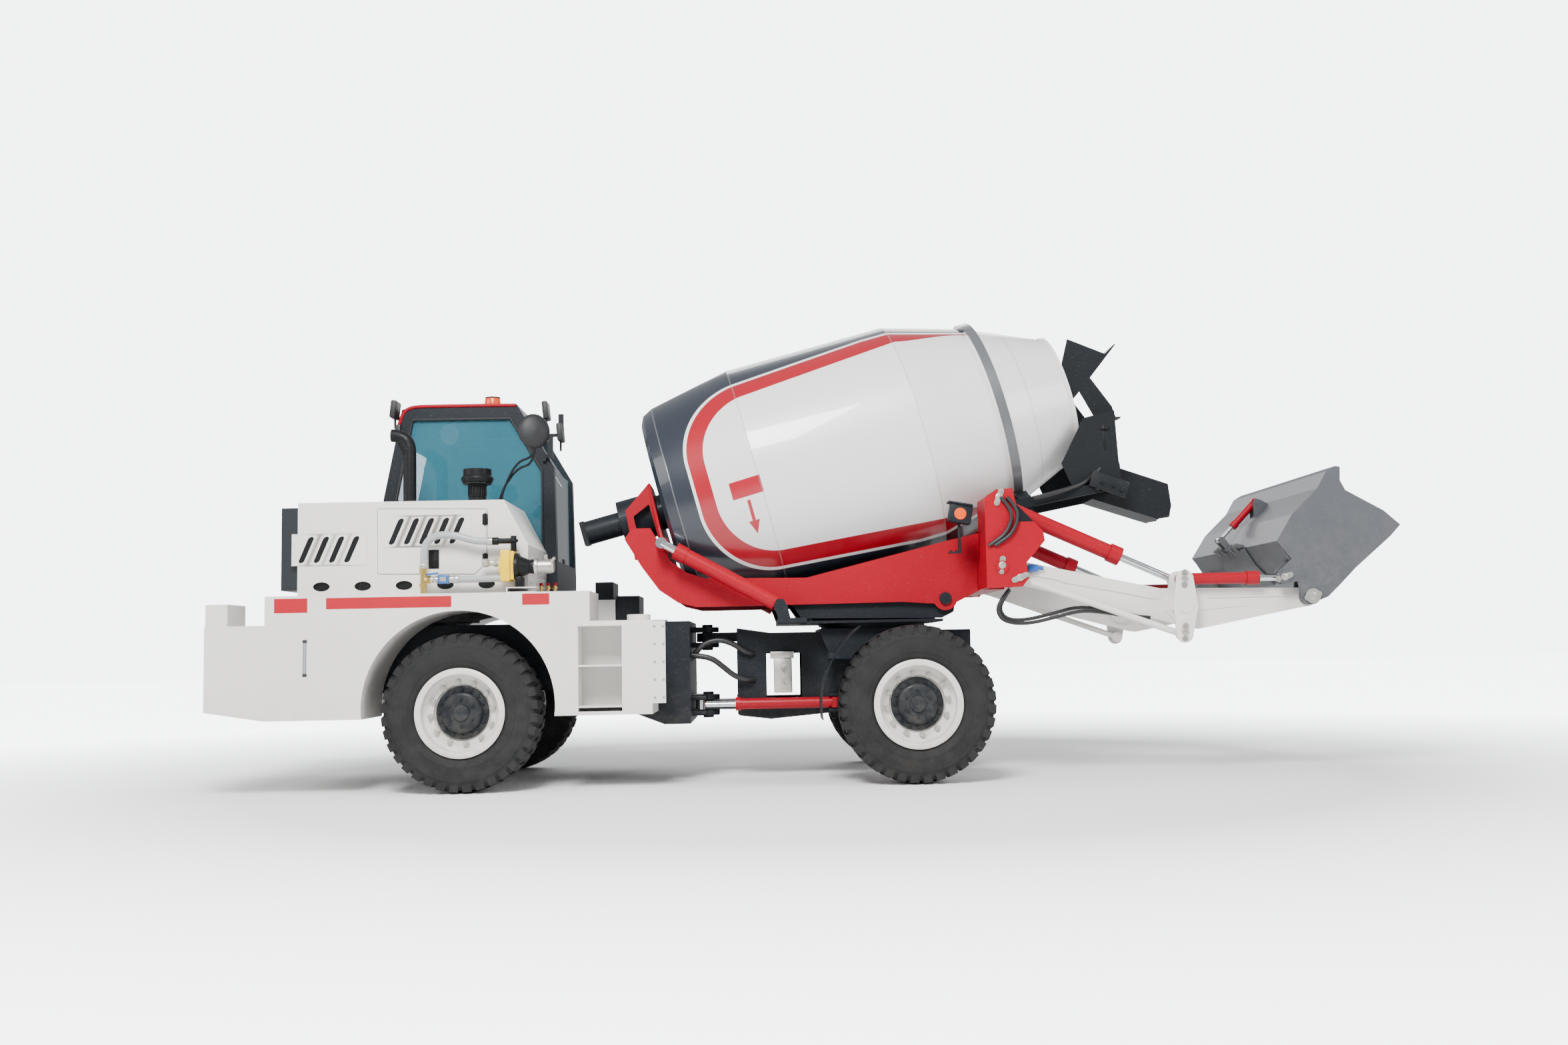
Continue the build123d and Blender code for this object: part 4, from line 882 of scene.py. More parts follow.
add_round(bell, (-2.162, pump_y, 1.712), (-2.162, pump_y, 1.815), 0.021, sides=18, edge=0.002)
add_round(bell, (-2.162, pump_y, 1.780), (-2.162, pump_y, 1.800), 0.032, sides=18, edge=0.002)
add_round(bell, (-2.305, pump_y, outlet_z), (-2.170, pump_y, outlet_z), 0.020, sides=18)
add_round(bell, (-2.312, pump_y, outlet_z), (-2.270, pump_y, outlet_z), 0.028, sides=18, edge=0.002)
add_block(bell, (-2.182, pump_y - 0.006, 1.812), (-2.142, pump_y + 0.006, 1.826), 0.002)
finish_piece(bell, "pump_bell_housing", "rear_frame", black_steel)
motor = bmesh.new()
add_round(motor, (-2.012, pump_y, shaft_z), (-1.988, pump_y, shaft_z), 0.062, sides=24, edge=0.003)
add_round(motor, (-1.988, pump_y, shaft_z), (-1.890, pump_y, shaft_z), 0.046, sides=24)
for place in range(6):
    start, end = -1.978 + place * 0.015, -1.971 + place * 0.015
    add_round(motor, (start, pump_y, shaft_z), (end, pump_y, shaft_z), 0.053, sides=24)
add_round(motor, (-1.890, pump_y, shaft_z), (-1.872, pump_y, shaft_z), 0.050, 0.040, sides=24, edge=0.003)
add_round(motor, (-1.93, pump_y, 1.64), (-1.93, pump_y - 0.01, 1.685), 0.014, sides=8)
add_round(motor, (-1.90, pump_y - 0.03, 1.62), (-1.86, pump_y - 0.06, 1.66), 0.011, sides=8)
for x in (-2.005, -1.90):
    add_bolt(motor, (x, pump_y - 0.055, 1.60), (0, -1, 0), 0.014, 0.008)
finish_piece(motor, "pump_motor", "rear_frame", zinc)
base = bmesh.new()
add_block(base, (-2.20, pump_y - 0.11, 1.4105), (-1.99, pump_y + 0.10, 1.420), 0.002)
add_block(base, (-2.20, pump_y - 0.11, 1.420), (-2.19, pump_y + 0.10, 1.452), 0.002)
add_block(base, (-2.20, pump_y - 0.11, 1.444), (-1.99, pump_y + 0.10, 1.452), 0.002)
finish_piece(base, "pump_base_plate", "rear_frame", cream_paint)

# %% [markdown]
# Clear hoses join the pump to a brass tee, a blue flow meter and zinc pipe joints. The whole
# set is laid out at the hood's face first, and is moved out to the tank's shelf at the end.

# %% Pump hoses and fittings
add_tube("pump_clear_hose", [
    (tee_x, pump_y, 1.565), (tee_x, pump_y, 1.70), (-2.785, pump_y, 1.80), (-2.70, pump_y, 1.843),
    (-2.58, pump_y, 1.838), (-2.45, pump_y, 1.795), (-2.36, pump_y, outlet_z), (-2.290, pump_y, outlet_z),
], 0.0265, "rear_frame", clear_hose, 7)
add_tube("pump_lower_hose", [
    (-2.598, pump_y, inlet_z), (-2.48, pump_y, 1.519), (-2.37, pump_y, inlet_z), (-2.245, pump_y, 1.524),
], 0.0255, "rear_frame", clear_hose, 7)
tee = bmesh.new()
add_round(tee, (tee_x, pump_y, 1.411), (tee_x, pump_y, 1.572), 0.022, sides=16)
add_round(tee, (tee_x, pump_y, 1.560), (tee_x, pump_y, 1.600), 0.031, sides=6)
add_round(tee, (tee_x, pump_y, 1.470), (tee_x, pump_y, 1.492), 0.030, sides=6)
add_round(tee, (tee_x, pump_y, inlet_z), (-2.760, pump_y, inlet_z), 0.021, sides=16)
add_round(tee, (-2.776, pump_y, inlet_z), (-2.756, pump_y, inlet_z), 0.028, sides=6)
finish_piece(tee, "pump_brass_tee", "rear_frame", brass)
meter = bmesh.new()
add_block(meter, (-2.700, pump_y - 0.030, 1.490), (-2.622, pump_y + 0.024, 1.553), 0.006)
add_round(meter, (-2.785, pump_y - 0.006, 1.556), (-2.700, pump_y - 0.012, 1.566), 0.007, sides=8)
finish_piece(meter, "pump_flow_meter", "rear_frame", valve_blue)
joints_shape = bmesh.new()
inlet_steps = [
    # start x, end x, radius
    (-2.756, -2.735, 0.024),
    (-2.735, -2.700, 0.018),
    (-2.722, -2.706, 0.027),
    (-2.622, -2.590, 0.027),
    (-2.590, -2.555, 0.030),
]
for x0, x1, radius in inlet_steps:
    add_round(joints_shape, (x0, pump_y, inlet_z), (x1, pump_y, inlet_z), radius, sides=16, edge=0.001)
add_block(joints_shape, (-2.684, pump_y - 0.0315, 1.506), (-2.640, pump_y - 0.0295, 1.538))
add_round(joints_shape, (-2.345, pump_y, outlet_z), (-2.312, pump_y, outlet_z), 0.030, sides=18, edge=0.001)
add_round(joints_shape, (tee_x, pump_y, 1.600), (tee_x, pump_y, 1.632), 0.0295, sides=18, edge=0.001)
add_round(joints_shape, (-2.262, pump_y, 1.634), (-2.345, pump_y, 1.634), 0.021, sides=18)
add_round(joints_shape, (-2.345, pump_y, 1.634), (-2.378, pump_y - 0.02, 1.632), 0.030, sides=18, edge=0.002)
add_round(joints_shape, (-2.300, pump_y, 1.634), (-2.275, pump_y, 1.634), 0.030, sides=6)
finish_piece(joints_shape, "pump_pipe_joints", "rear_frame", zinc)

pump_move = Matrix.Translation((0.03, -0.165, -0.006))
pump_pieces = [item for item in bpy.data.objects if item.name.startswith("pump_")]
pump_pieces = [item for item in pump_pieces if item.name not in solids]
for item in pump_pieces:
    item.data.transform(pump_move)
print("pump pieces", len(pump_pieces))

# %% [markdown]
# A crimson strip trims the cab above its side window. An orange beacon stands on the roof,
# mirrors stand off the corners, and a round convex mirror on a bent double stalk watches
# the rear wheel. The window's seal, a wiper and a small fan inside complete the cab.

# %% Cab fittings
add_tube("cab_crimson_strip", [
    (-3.222, -0.051, 2.76), (-3.190, -0.051, 2.885), (-3.140, -0.051, 2.933), (-3.072, -0.051, 2.948),
    (-2.9, -0.051, 2.949), (-2.42, -0.051, 2.949), (-2.285, -0.051, 2.947),
], 0.0135, "rear_frame", crimson_paint, 4)
beacon = bmesh.new()
add_spun(beacon, (-2.549, 0.4, 2.957), (0, 0, 1), [
    (0.0, 0.070), (0.016, 0.072), (0.020, 0.068), (0.030, 0.068), (0.034, 0.0645), (0.050, 0.0665),
    (0.056, 0.0645), (0.072, 0.0665), (0.078, 0.0645), (0.094, 0.0665), (0.100, 0.0645), (0.118, 0.0635),
    (0.128, 0.058), (0.1318, 0.048), (0.1321, 0.0001),
], 40)
finish_piece(beacon, "roof_beacon", "rear_frame", lamp_orange)
mirror = bmesh.new()
mirror_middle = Vector((-2.010, -0.905, 2.605))
mirror_facing = Vector((0.35, -0.93, 0.05)).normalized()
add_spun(mirror, mirror_middle, mirror_facing, [
    (-0.030, 0.0001), (-0.028, 0.096), (-0.020, 0.112), (-0.006, 0.118), (0.004, 0.114), (0.020, 0.094),
    (0.034, 0.052), (0.038, 0.0001),
], 44)
bmesh.ops.scale(mirror, verts=mirror.verts, vec=(1, 1, 1.10), space=Matrix.Translation(-mirror_middle))
finish_piece(mirror, "round_mirror_head", "rear_frame", trim_plastic)
for number, lift in enumerate((0.0, -0.05)):
    add_tube(f"round_mirror_stalk_{number + 1}", [
        (-2.262 + lift * 0.4, -0.86 - lift, 2.088),
        (-2.255 + lift * 0.4, -0.87 - lift, 2.16),
        (-2.140, -0.90, 2.385 + lift),
        (-2.015, -0.905, 2.41 + lift),
        (-2.004, -0.905, 2.50),
    ], 0.0085, "rear_frame", black_steel, 3)
stalk_foot = bmesh.new()
add_block(stalk_foot, (-2.31, -0.90, 2.0905), (-2.23, -0.80, 2.099), 0.002)
for x in (-2.295, -2.245):
    add_bolt(stalk_foot, (x, -0.885, 2.099), (0, 0, 1), 0.016, 0.008)
    add_bolt(stalk_foot, (x, -0.815, 2.099), (0, 0, 1), 0.016, 0.008)
finish_piece(stalk_foot, "round_mirror_foot", "rear_frame", black_steel)
corner_mirrors = bmesh.new()
mirror_spots = [
    # x, y, z, tilt
    (-3.232, -0.085, 2.93, 0.12),
    (-2.040, -0.075, 2.905, -0.10),
    (-1.934, -0.030, 2.735, -0.08),
]
for x, y, z, tilt in mirror_spots:
    low, high = (x - 0.022, y - 0.085, z - 0.085), (x + 0.022, y + 0.085, z + 0.055)
    add_block(corner_mirrors, low, high, 0.010, Matrix.Rotation(tilt, 4, "Y"))
    add_round(corner_mirrors, (x, y, z - 0.075), (x, y, z - 0.16), 0.009, sides=8)
add_round(corner_mirrors, (-3.232, -0.085, 2.775), (-3.16, -0.055, 2.74), 0.009, sides=8)
add_block(corner_mirrors, (-3.235, -0.092, 2.70), (-3.190, -0.048, 2.80), 0.004)
add_round(corner_mirrors, (-2.040, -0.075, 2.75), (-2.135, -0.052, 2.72), 0.009, sides=8)
finish_piece(corner_mirrors, "cab_corner_mirrors", "rear_frame", trim_plastic)
wiper = bmesh.new()
add_round(wiper, (-2.005, 0.55, 1.73), (-2.013, 0.62, 2.20), 0.007, sides=8)
add_round(wiper, (-2.008, 0.45, 2.02), (-2.016, 0.78, 2.36), 0.008, sides=8)
add_block(wiper, (-2.02, 0.50, 1.69), (-1.985, 0.60, 1.75), 0.006)
finish_piece(wiper, "windscreen_wiper", "rear_frame", black_steel)
seal_corners = [
    (-3.230, 1.800), (-3.230, 2.190), (-3.105, 2.840), (-2.330, 2.840), (-2.080, 2.420), (-2.075, 1.800),
]
seal = bmesh.new()
for (x0, z0), (x1, z1) in zip(seal_corners, seal_corners[1:] + seal_corners[:1]):
    add_round(seal, (x0, -0.052, z0), (x1, -0.052, z1), 0.010, sides=8)
finish_piece(seal, "side_window_seal", "rear_frame", trim_plastic)
fan_shape = bmesh.new()
add_spun(fan_shape, (-2.92, 0.48, 2.80), (-0.35, -0.8, -0.1), [
    (-0.05, 0.0001), (-0.05, 0.045), (-0.01, 0.075), (0.0, 0.088), (0.012, 0.088), (0.016, 0.076),
    (0.006, 0.0001),
], 28)
add_round(fan_shape, (-2.92, 0.52, 2.82), (-2.92, 0.55, 2.905), 0.02, sides=12)
finish_piece(fan_shape, "cab_fan", "rear_frame", cream_paint)
print("cab fittings made")

# %% [markdown]
# The driver's seat is foam under woven cloth. Each cushion is a block that is subdivided
# and puffed out, with its corners pulled in, and two sewn channels pressed into it.

# %% Driver's seat
seat_cloth, cloth_tree, cloth_shader, _ = new_finish("seat_cloth")
weave_place = add_node(cloth_tree, "ShaderNodeTexCoord").outputs["Object"]
weave_axes = add_node(cloth_tree, "ShaderNodeSeparateXYZ")
cloth_tree.links.new(weave_place, weave_axes.inputs[0])
warp = sum_of(cloth_tree, "SINE", sum_of(cloth_tree, "MULTIPLY", weave_axes.outputs["Y"], 2200.0))
weft_way = sum_of(cloth_tree, "ADD", weave_axes.outputs["X"], weave_axes.outputs["Z"])
weft = sum_of(cloth_tree, "SINE", sum_of(cloth_tree, "MULTIPLY", weft_way, 2200.0))
weave = sum_of(cloth_tree, "MULTIPLY_ADD", sum_of(cloth_tree, "MULTIPLY", warp, weft), 0.5, 0.5)
cloth_colour = blended(cloth_tree, weave, (0.020, 0.021, 0.024), (0.050, 0.052, 0.058))
cloth_tree.links.new(cloth_colour, cloth_shader.inputs["Base Color"])
cloth_tree.links.new(sum_of(cloth_tree, "MULTIPLY_ADD", weave, 0.1, 0.8), cloth_shader.inputs["Roughness"])
add_bump(cloth_tree, cloth_shader, weave, 0.3, 0.0008)


def add_cushion(name, centre, size, lean):
    """A crowned cushion with two sewn channels."""
    shape = bmesh.new()
    bmesh.ops.create_cube(shape, size=1.0)
    bmesh.ops.subdivide_edges(shape, edges=shape.edges, cuts=9, use_grid_fill=True)
    for vertex in shape.verts:
        across, along, up = vertex.co.x * 2, vertex.co.y * 2, vertex.co.z * 2
        crown = (1 - across ** 4) * (1 - along ** 4)
        pinch = 1 - 0.05 * (abs(across) * abs(along)) ** 3
        channel = sum(0.035 * max(0, 1 - abs(along - place) / 0.09) for place in (-0.42, 0.42))
        thick = (0.62 + 0.38 * crown - channel) if abs(up) > 0.05 else 1.0
        x, y, z = vertex.co
        vertex.co = (x * pinch * size[0], y * pinch * size[1], z * thick * size[2])
    bmesh.ops.smooth_vert(
        shape, verts=shape.verts, factor=0.5, use_axis_x=True, use_axis_y=True, use_axis_z=True,
    )
    bmesh.ops.rotate(shape, verts=shape.verts, cent=(0, 0, 0), matrix=Matrix.Rotation(lean, 3, "Y"))
    bmesh.ops.translate(shape, verts=shape.verts, vec=centre)
    piece = finish_piece(shape, name, "rear_frame", seat_cloth, 80)
    soften = piece.modifiers.new("soften", "SUBSURF")
    soften.levels = soften.render_levels = 1
    return piece


add_cushion("seat_cushion", (-2.69, 0.56, 1.775), (0.53, 0.54, 0.13), 0.06)
add_cushion("seat_backrest", (-2.995, 0.56, 2.055), (0.14, 0.53, 0.66), -0.14)
add_cushion("seat_headrest", (-3.072, 0.56, 2.47), (0.10, 0.28, 0.19), -0.14)
print("cushions 3")

# %% [markdown]
# Some plates change colour part of the way along, and the water tank carries blank crimson
# stripes and labels that lie flush with its face. These are painted, not built: a mask by
# place mixes the second colour in.

# %% Painted areas
mark_edge = 0.0008


def repaint(finish, new_name, areas):
    """A copy of a finish with areas in a second colour: (colour, low corner, high corner)."""
    copy = finish.copy()
    copy.name = new_name
    tree = copy.node_tree
    shader = tree.nodes["Principled BSDF"]
    base = shader.inputs["Base Color"].links[0].from_socket
    place = add_node(tree, "ShaderNodeSeparateXYZ")
    tree.links.new(add_node(tree, "ShaderNodeTexCoord").outputs["Object"], place.inputs[0])
    sides = {"X": place.outputs["X"], "Y": place.outputs["Y"], "Z": place.outputs["Z"]}
    for colour, low, high in areas:
        inside = 1.0
        for axis, bottom, top in zip("XYZ", low, high):
            middle, half = (bottom + top) / 2, (top - bottom) / 2
            away = sum_of(tree, "ABSOLUTE", sum_of(tree, "SUBTRACT", sides[axis], middle))
            within = ramp(tree, away, half - mark_edge, half + mark_edge, 1.0, 0.0)
            inside = sum_of(tree, "MULTIPLY", within, inside)
        base = blended(tree, inside, base, colour)
    tree.links.new(base, shader.inputs["Base Color"])
    return copy


strip_crimson = (0.40, 0.0, 0.010)
steel_grey = (0.30, 0.31, 0.32)
near_black = (0.02, 0.02, 0.022)
tank_marks = [
    (strip_crimson, (-3.432, -1.3, 1.312), (-2.551, -1.19, 1.392)),
    (strip_crimson, (-3.796, -1.3, 1.290), (-3.562, -1.19, 1.392)),
    (strip_crimson, (-2.053, -1.3, 1.318), (-1.861, -1.19, 1.398)),
    (near_black, (-3.590, -1.3, 0.850), (-3.566, -1.19, 1.090)),
    (steel_grey, (-3.586, -1.3, 0.862), (-3.570, -1.19, 1.078)),
    (near_black, (-3.594, -1.3, 1.078), (-3.562, -1.19, 1.100)),
    (near_black, (-3.594, -1.3, 0.840), (-3.562, -1.19, 0.862)),
]
for step in range(5):
    middle = 0.64 + 0.125 * step
    tank_marks.append((steel_grey, (-1.131, -1.3, middle), (-1.113, -1.19, middle + 0.018)))
    tank_marks.append((steel_grey, (-1.070, -1.3, middle), (-1.052, -1.19, middle + 0.018)))
tank_paint = repaint(cream_paint, "cream_tank_paint", tank_marks)
hood_paint = repaint(cream_paint, "cream_hood_paint", [
    ((0.009, 0.012, 0.016), (-3.9, -1.3, 1.40), (-3.7035, 1.3, 2.2)),
])
frame_paint = repaint(crimson_paint, "crimson_frame_paint", [
    ((0.007, 0.009, 0.011), (1.50, -1.3, 1.86), (3.0, 1.3, 3.6)),
])
bar_length = 0.17
reflector_bars = []
for side in (-1, 1):
    for step in range(3):
        start = 0.62 + bar_length * step
        colour = strip_crimson if step % 2 == 0 else (0.80, 0.80, 0.80)
        near, far = sorted((side * start, side * (start + bar_length)))
        reflector_bars.append((colour, (-4.4, near, 1.02), (-4.25, far, 1.07)))
weight_paint = repaint(cream_paint, "cream_weight_paint", reflector_bars)
marked_nodes = [
    ("side_tank_right", tank_paint),
    ("side_tank_left", tank_paint),
    ("hood", hood_paint),
    ("drum_frame", frame_paint),
    ("counterweight", weight_paint),
]
for node_name, finish in marked_nodes:
    solids[node_name].material_slots[0].material = finish
print("painted areas", len(tank_marks))

# %% [markdown]
# Each loader pin is held by a flat zinc keeper: an oval plate with two screws, over the
# pin's domed end. They keep the pin from turning and walking out.

# %% Pin keepers
def add_keeper(shape, x, z, y, side, turn, reach=0.046, width=0.021):
    """An oval keeper on the outer face at y, with its pin's end and two screws."""
    way = Vector((cos(turn), 0, sin(turn)))
    middle = Vector((x, y, z))
    outward = Vector((0, side, 0))
    for end in (-1, 1):
        spot = middle + way * reach * end
        add_round(shape, spot, spot + outward * 0.007, width, sides=20)
        add_bolt(shape, spot + outward * 0.007, outward, 0.020, 0.010)
    half_size = Vector((reach, 0.0035, width))
    add_block(shape, middle - half_size, middle + half_size, 0.0, Matrix.Rotation(-turn, 4, "Y"))
    bmesh.ops.translate(shape, verts=shape.verts[-8:], vec=outward * 0.0035)
    add_round(shape, middle, middle + outward * 0.011, width * 1.25, sides=26, edge=0.002)


keeper_sets = {
    "drum_frame": [(1.384, 1.547, 1.0565, 1.45), (1.375, 2.042, 1.0565, 1.20), (1.512, 1.455, 1.0565, 0.4)],
    "loader_arm": [(2.690, 1.230, 0.9305, 0.9)],
    "bellcranks": [(2.705, 1.426, 1.0565, 1.5), (2.694, 1.040, 1.0565, 1.5)],
    "bucket_pins": [(3.432, 1.425, 1.0565, 0.3), (3.634, 1.283, 1.0565, 0.3)],
}
for owner, keepers in keeper_sets.items():
    keeper_shape = bmesh.new()
    for x, z, y, turn in keepers:
        for side in (-1, 1):
            add_keeper(keeper_shape, x, z, y * side, side, turn)
    finish_piece(keeper_shape, f"pin_keepers_{owner}", owner, zinc)
print("keepers", sum(len(v) for v in keeper_sets.values()) * 2)

# %% [markdown]
# The drum frame's head carries a work lamp in a folded hood, on a bent bracket.

# %% Head lamp
lamp_shape = bmesh.new()
lamp_turn = Matrix.Rotation(0.18, 4, "Y")
add_block(lamp_shape, (1.020, -1.010, 1.862), (1.186, -0.905, 2.010), 0.012, lamp_turn)
add_block(lamp_shape, (1.012, -1.022, 1.998), (1.192, -0.895, 2.012), 0.003, lamp_turn)
add_block(lamp_shape, (1.085, -0.960, 1.655), (1.105, -0.930, 1.865), 0.003)
add_block(lamp_shape, (1.010, -0.965, 1.645), (1.105, -0.925, 1.657), 0.002)
for x in (1.030, 1.070):
    add_bolt(lamp_shape, (x, -0.945, 1.657), (0, 0, 1), 0.018, 0.009)
finish_piece(lamp_shape, "head_lamp_hood", "drum_frame", hub_slate)
lens_shape = bmesh.new()
add_round(lens_shape, (1.098, -1.006, 1.930), (1.098, -1.020, 1.930), 0.046, 0.042, sides=28, edge=0.003)
finish_piece(lens_shape, "head_lamp_lens", "drum_frame", lamp_orange)

# %% [markdown]
# A short black pipe by the hopper ends in a crimped sleeve. A rubber hose leads from it, back
# and down along the drum's side, past a slate bracket with four bolts.

# %% Hopper water pipe
fitting = bmesh.new()
add_round(fitting, (2.290, -0.5, 2.64), (2.290, -0.5, 2.44), 0.034, sides=20, edge=0.003)
add_round(fitting, (2.290, -0.5, 2.60), (2.290, -0.5, 2.62), 0.050, sides=20, edge=0.002)
add_sleeve(fitting, (2.290, -0.5, 2.46), (2.287, -0.5, 2.40), 0.030)
finish_piece(fitting, "hopper_pipe_fitting", "drum_frame", black_steel)
bracket = bmesh.new()
add_block(bracket, (2.150, -0.612, 2.110), (2.440, -0.600, 2.235), 0.004, Matrix.Rotation(0.35, 4, "Y"))
for x, z in ((2.24, 2.181), (2.325, 2.154), (2.20, 2.135), (2.385, 2.12)):
    add_bolt(bracket, (x, -0.612, z), (0, -1, 0), 0.024, 0.011)
finish_piece(bracket, "hopper_side_bracket", "drum_frame", hopper_slate)
add_tube("hopper_water_hose", [
    (2.287, -0.5, 2.43), (2.280, -0.5, 2.36), (2.237, -0.52, 2.29), (2.110, -0.58, 2.185),
    (1.95, -0.64, 2.13), (1.783, -0.66, 2.087), (1.70, -0.66, 2.07),
], 0.0165, "drum_frame", hose_rubber)
print("head and hopper fittings made")

# %% [markdown]
# The loader's oil lines hang in loops by the arm's foot. Each is made on the drum frame,
# then taken off it and left fixed where it lies, and its length is printed. They start in
# crimped sleeves, and only the inner one ends in a sleeve on the arm.

# %% Loader hoses
loader_hoses = [
    # name, y, radius, then x and z of each point
    ("loader_hose_outer", -0.957, 0.0135, [
        (1.470, 1.400), (1.380, 1.300), (1.352, 1.215), (1.400, 1.140), (1.560, 1.118),
        (1.78, 1.165), (1.95, 1.210), (2.10, 1.200), (2.30, 1.165), (2.47, 1.150),
    ]),
    ("loader_hose_inner", -0.862, 0.0135, [
        (1.490, 1.405), (1.415, 1.310), (1.385, 1.225), (1.440, 1.155), (1.580, 1.150),
        (1.78, 1.195), (1.95, 1.240), (2.12, 1.225), (2.30, 1.190), (2.45, 1.175),
    ]),
]
hose_ends = bmesh.new()
arm_ends = bmesh.new()
for name, y, radius, flat in loader_hoses:
    line = [(x, y, z) for x, z in flat]
    hose = add_tube(name, line, radius, "drum_frame", hose_rubber, 5)
    length, path = line_length(line)
    hose.parent = None
    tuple(line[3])
    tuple(line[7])
    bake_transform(hose)
    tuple(line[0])
    [tuple(p) for p in path]
    print(name, "length", round(length, 3), "m")
    first, second = Vector(line[0]), Vector(line[1])
    add_sleeve(hose_ends, first + (first - second) * 0.35, first + (second - first) * 0.25, radius * 1.45)
    last, before = Vector(line[-1]), Vector(line[-2])
    if y > -0.9:
        add_sleeve(arm_ends, last + (last - before) * 0.05, last + (before - last) * 0.20, radius * 1.15)
finish_piece(hose_ends, "loader_hose_sleeves", "drum_frame", zinc)
finish_piece(arm_ends, "arm_hose_sleeves", "loader_arm", zinc)

# %% [markdown]
# Each arm carries a cream sleeve plate and two thin ribs on its outer face, and the right
# arm also has a small blue valve.

# %% Arm fittings
arm_ribs = [
    # start x and z, end x and z
    ((1.826, 1.425), (2.540, 1.290)),
    ((2.869, 1.205), (3.188, 1.230)),
]
arm_plate = bmesh.new()
for side in (-1, 1):
    y = side * 0.9335
    plate_turn = Matrix.Rotation(0.2, 4, "Y")
    add_block(arm_plate, (2.590, y - 0.003, 1.170), (2.800, y + 0.003, 1.290), 0.002, plate_turn)
    for (x0, z0), (x1, z1) in arm_ribs:
        add_round(arm_plate, (x0, side * 0.931, z0), (x1, side * 0.931, z1), 0.007, sides=8)
finish_piece(arm_plate, "arm_sleeves_and_ribs", "loader_arm", cream_paint)
valve = bmesh.new()
add_block(valve, (1.590, -0.972, 1.500), (1.660, -0.934, 1.552), 0.005)
add_round(valve, (1.66, -0.953, 1.526), (1.70, -0.953, 1.526), 0.014, sides=10)
finish_piece(valve, "arm_blue_valve", "loader_arm", valve_blue)

# %% [markdown]
# Two thick oil lines cross the centre joint in a gentle S. Each is made on the rear frame,
# then taken off it and left fixed where it lies, and its length is printed.

# %% Centre joint hoses
centre_hoses = [
    ("centre_hose_upper", [
        (-0.930, -0.325, 0.885), (-0.891, -0.325, 0.934), (-0.812, -0.325, 1.025), (-0.694, -0.325, 1.058),
        (-0.580, -0.325, 1.020), (-0.500, -0.322, 0.960), (-0.455, -0.312, 0.944), (-0.430, -0.286, 0.940),
    ]),
    ("centre_hose_lower", [
        (-0.930, -0.375, 0.945), (-0.870, -0.375, 0.935), (-0.745, -0.375, 0.915), (-0.660, -0.372, 0.845),
        (-0.580, -0.360, 0.778), (-0.510, -0.345, 0.748), (-0.460, -0.325, 0.742), (-0.430, -0.286, 0.740),
    ]),
]
for name, line in centre_hoses:
    hose = add_tube(name, line, 0.0215, "rear_frame", hose_rubber, 5)
    length, path = line_length(line)
    hose.parent = None
    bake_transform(hose)
    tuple(line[0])
    [tuple(p) for p in path]
    print(name, "length", round(length, 3), "m")

# %% [markdown]
# A zinc valve block with three capped ports stands on the front frame, ahead of the joint.

# %% Centre valve block
block = bmesh.new()
add_block(block, (-0.275, -0.345, 0.640), (-0.135, -0.235, 0.900), 0.006)
add_block(block, (-0.300, -0.335, 0.900), (-0.120, -0.245, 0.955), 0.006)
for z in (0.69, 0.77, 0.85):
    add_round(block, (-0.205, -0.345, z), (-0.205, -0.385, z), 0.024, sides=6)
    add_round(block, (-0.205, -0.380, z), (-0.205, -0.400, z), 0.016, sides=12)
finish_piece(block, "centre_valve_block", "front_frame", zinc)

# %% [markdown]
# Oil lines for the lift cylinders cross the head in a loop. They stay on the drum frame at
# both ends, so they ride with it.

# %% Head hoses
for number, shift in enumerate((0.0, 0.045)):
    line = [
        (1.290 + shift, -1.066, 1.690), (1.330 + shift, -1.076, 1.715), (1.410 + shift, -1.082, 1.770),
        (1.465 + shift, -1.084, 1.880), (1.440 + shift, -1.080, 1.980), (1.385 + shift, -1.068, 2.040),
    ]
    hose = add_tube(f"head_hose_{number + 1}", line, 0.0135, "drum_frame", hose_rubber, 5)
    length, path = line_length(line)
    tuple(line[0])
    [tuple(p) for p in path]
    print(hose.name, "length", round(length, 3), "m")

# %% [markdown]
# The hood is ventilated by slots that lean forward at the top. The solid's own slots lean
# the other way, which is a fault of the solid. Here thin louvre panels cover them: a dark
# sheet as painted shade seen through the slots, and a cream sheet in front of it with the
# slots cut out.

# %% Hood slots
ring_steps = 24
sheet_thick = 0.0012


def add_slotted_sheet(shape, low, high, face, slots, lean, half_wide, half_tall):
    """A sheet from low to high (x, z) at y = face, with leaning slots left open."""
    count = len(slots)
    edges = [low[0]] + [(a + b) / 2 for a, b in zip(slots, slots[1:])] + [high[0]]
    for number in range(count):
        left, right, middle = edges[number], edges[number + 1], slots[number]
        mid_z = (low[1] + high[1]) / 2
        ring = []
        for step in range(ring_steps):
            turn = 2 * pi * step / ring_steps
            across = half_wide * cos(turn)
            rise = half_wide * sin(turn) + (half_tall - half_wide) * (1 if sin(turn) >= 0 else -1)
            ring.append(shape.verts.new((middle + across + rise * lean, face, mid_z + rise)))
        slant = (high[1] - mid_z) * lean
        first = left if number == 0 else left - slant
        second = left if number == 0 else left + slant
        third = right if number == count - 1 else right + slant
        fourth = right if number == count - 1 else right - slant
        outline = ((third, high[1]), (second, high[1]), (first, low[1]), (fourth, low[1]))
        corners = [shape.verts.new((x, face, z)) for x, z in outline]
        marks = [3, 9, 15, 21]
        for corner in range(4):
            start, end = marks[corner], marks[(corner + 1) % 4]
            if end < start:
                end += ring_steps
            chain = [ring[place % ring_steps] for place in range(start, end + 1)]
            shape.faces.new([corners[corner]] + chain + [corners[(corner + 1) % 4]])


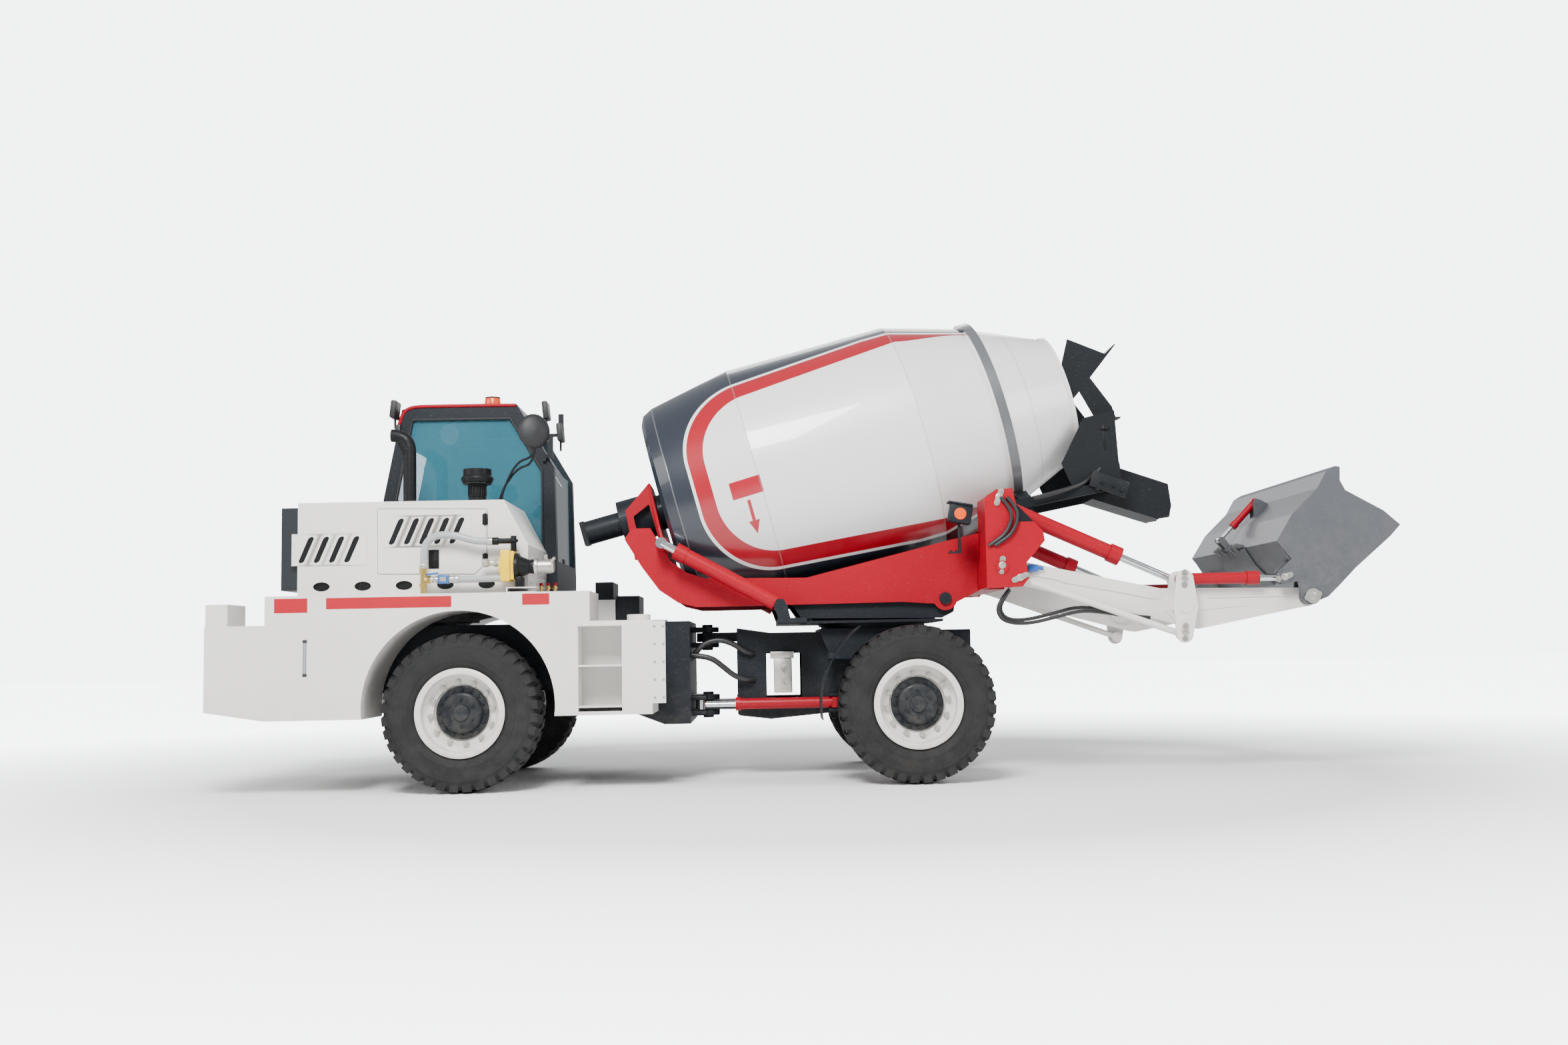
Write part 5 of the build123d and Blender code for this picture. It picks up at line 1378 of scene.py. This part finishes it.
louvre = bmesh.new()
# The dark backs made here are painted shade, seen through the slots.
dark = bmesh.new()
for first, count, mid_z, face in ((-2.992, 5, 1.872, -1.0075), (-3.640, 4, 1.750, -1.0045)):
    slots = [first + 0.109 * place for place in range(count)]
    low = (slots[0] - 0.105, mid_z - 0.115)
    high = (slots[-1] + 0.105, mid_z + 0.115)
    add_slotted_sheet(louvre, low, high, face, slots, 0.42, 0.021, 0.095)
    back_low = (low[0] + 0.003, face + sheet_thick, low[1] + 0.003)
    back_high = (high[0] - 0.003, face + 0.0030, high[1] - 0.003)
    add_block(dark, back_low, back_high)
bmesh.ops.recalc_face_normals(louvre, faces=louvre.faces)
rim_faces = bmesh.ops.extrude_face_region(louvre, geom=louvre.faces)
back_corners = [part for part in rim_faces["geom"] if isinstance(part, bmesh.types.BMVert)]
bmesh.ops.translate(louvre, verts=back_corners, vec=(0, sheet_thick, 0))
bmesh.ops.recalc_face_normals(louvre, faces=louvre.faces)
finish_piece(louvre, "hood_louvre_panels", "rear_frame", cream_paint)
finish_piece(dark, "hood_louvre_backs", "rear_frame", black_steel)
print("louvre panels made")

# %% [markdown]
# Three small brass taps with red caps stand on the right tank, ahead of the pump.

# %% Taps and red caps
tap_places = (-1.955, -1.905, -1.855)
taps = bmesh.new()
for x in tap_places:
    add_round(taps, (x, -0.965, 1.411), (x, -0.965, 1.462), 0.013, sides=12)
    add_round(taps, (x, -0.965, 1.440), (x, -0.965, 1.452), 0.020, sides=6)
finish_piece(taps, "small_taps", "rear_frame", brass)
tap_caps = bmesh.new()
for x in tap_places:
    add_round(tap_caps, (x, -0.965, 1.462), (x, -0.965, 1.482), 0.015, 0.012, sides=14, edge=0.001)
finish_piece(tap_caps, "small_tap_caps", "rear_frame", crimson_paint)
print("small fittings made")

# %% [markdown]
# Both boxes are measured, and how far the visual model reaches past the solids' box is printed.
# The visual model has to stay inside the solids' box.

# %% Sizes and finish
seen_low, seen_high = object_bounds()
grown_high = [round(b - a, 4) for a, b in zip(cad_high, seen_high)]
grown_low = [round(b - a, 4) for a, b in zip(cad_low, seen_low)]
print("grown", grown_high, grown_low)
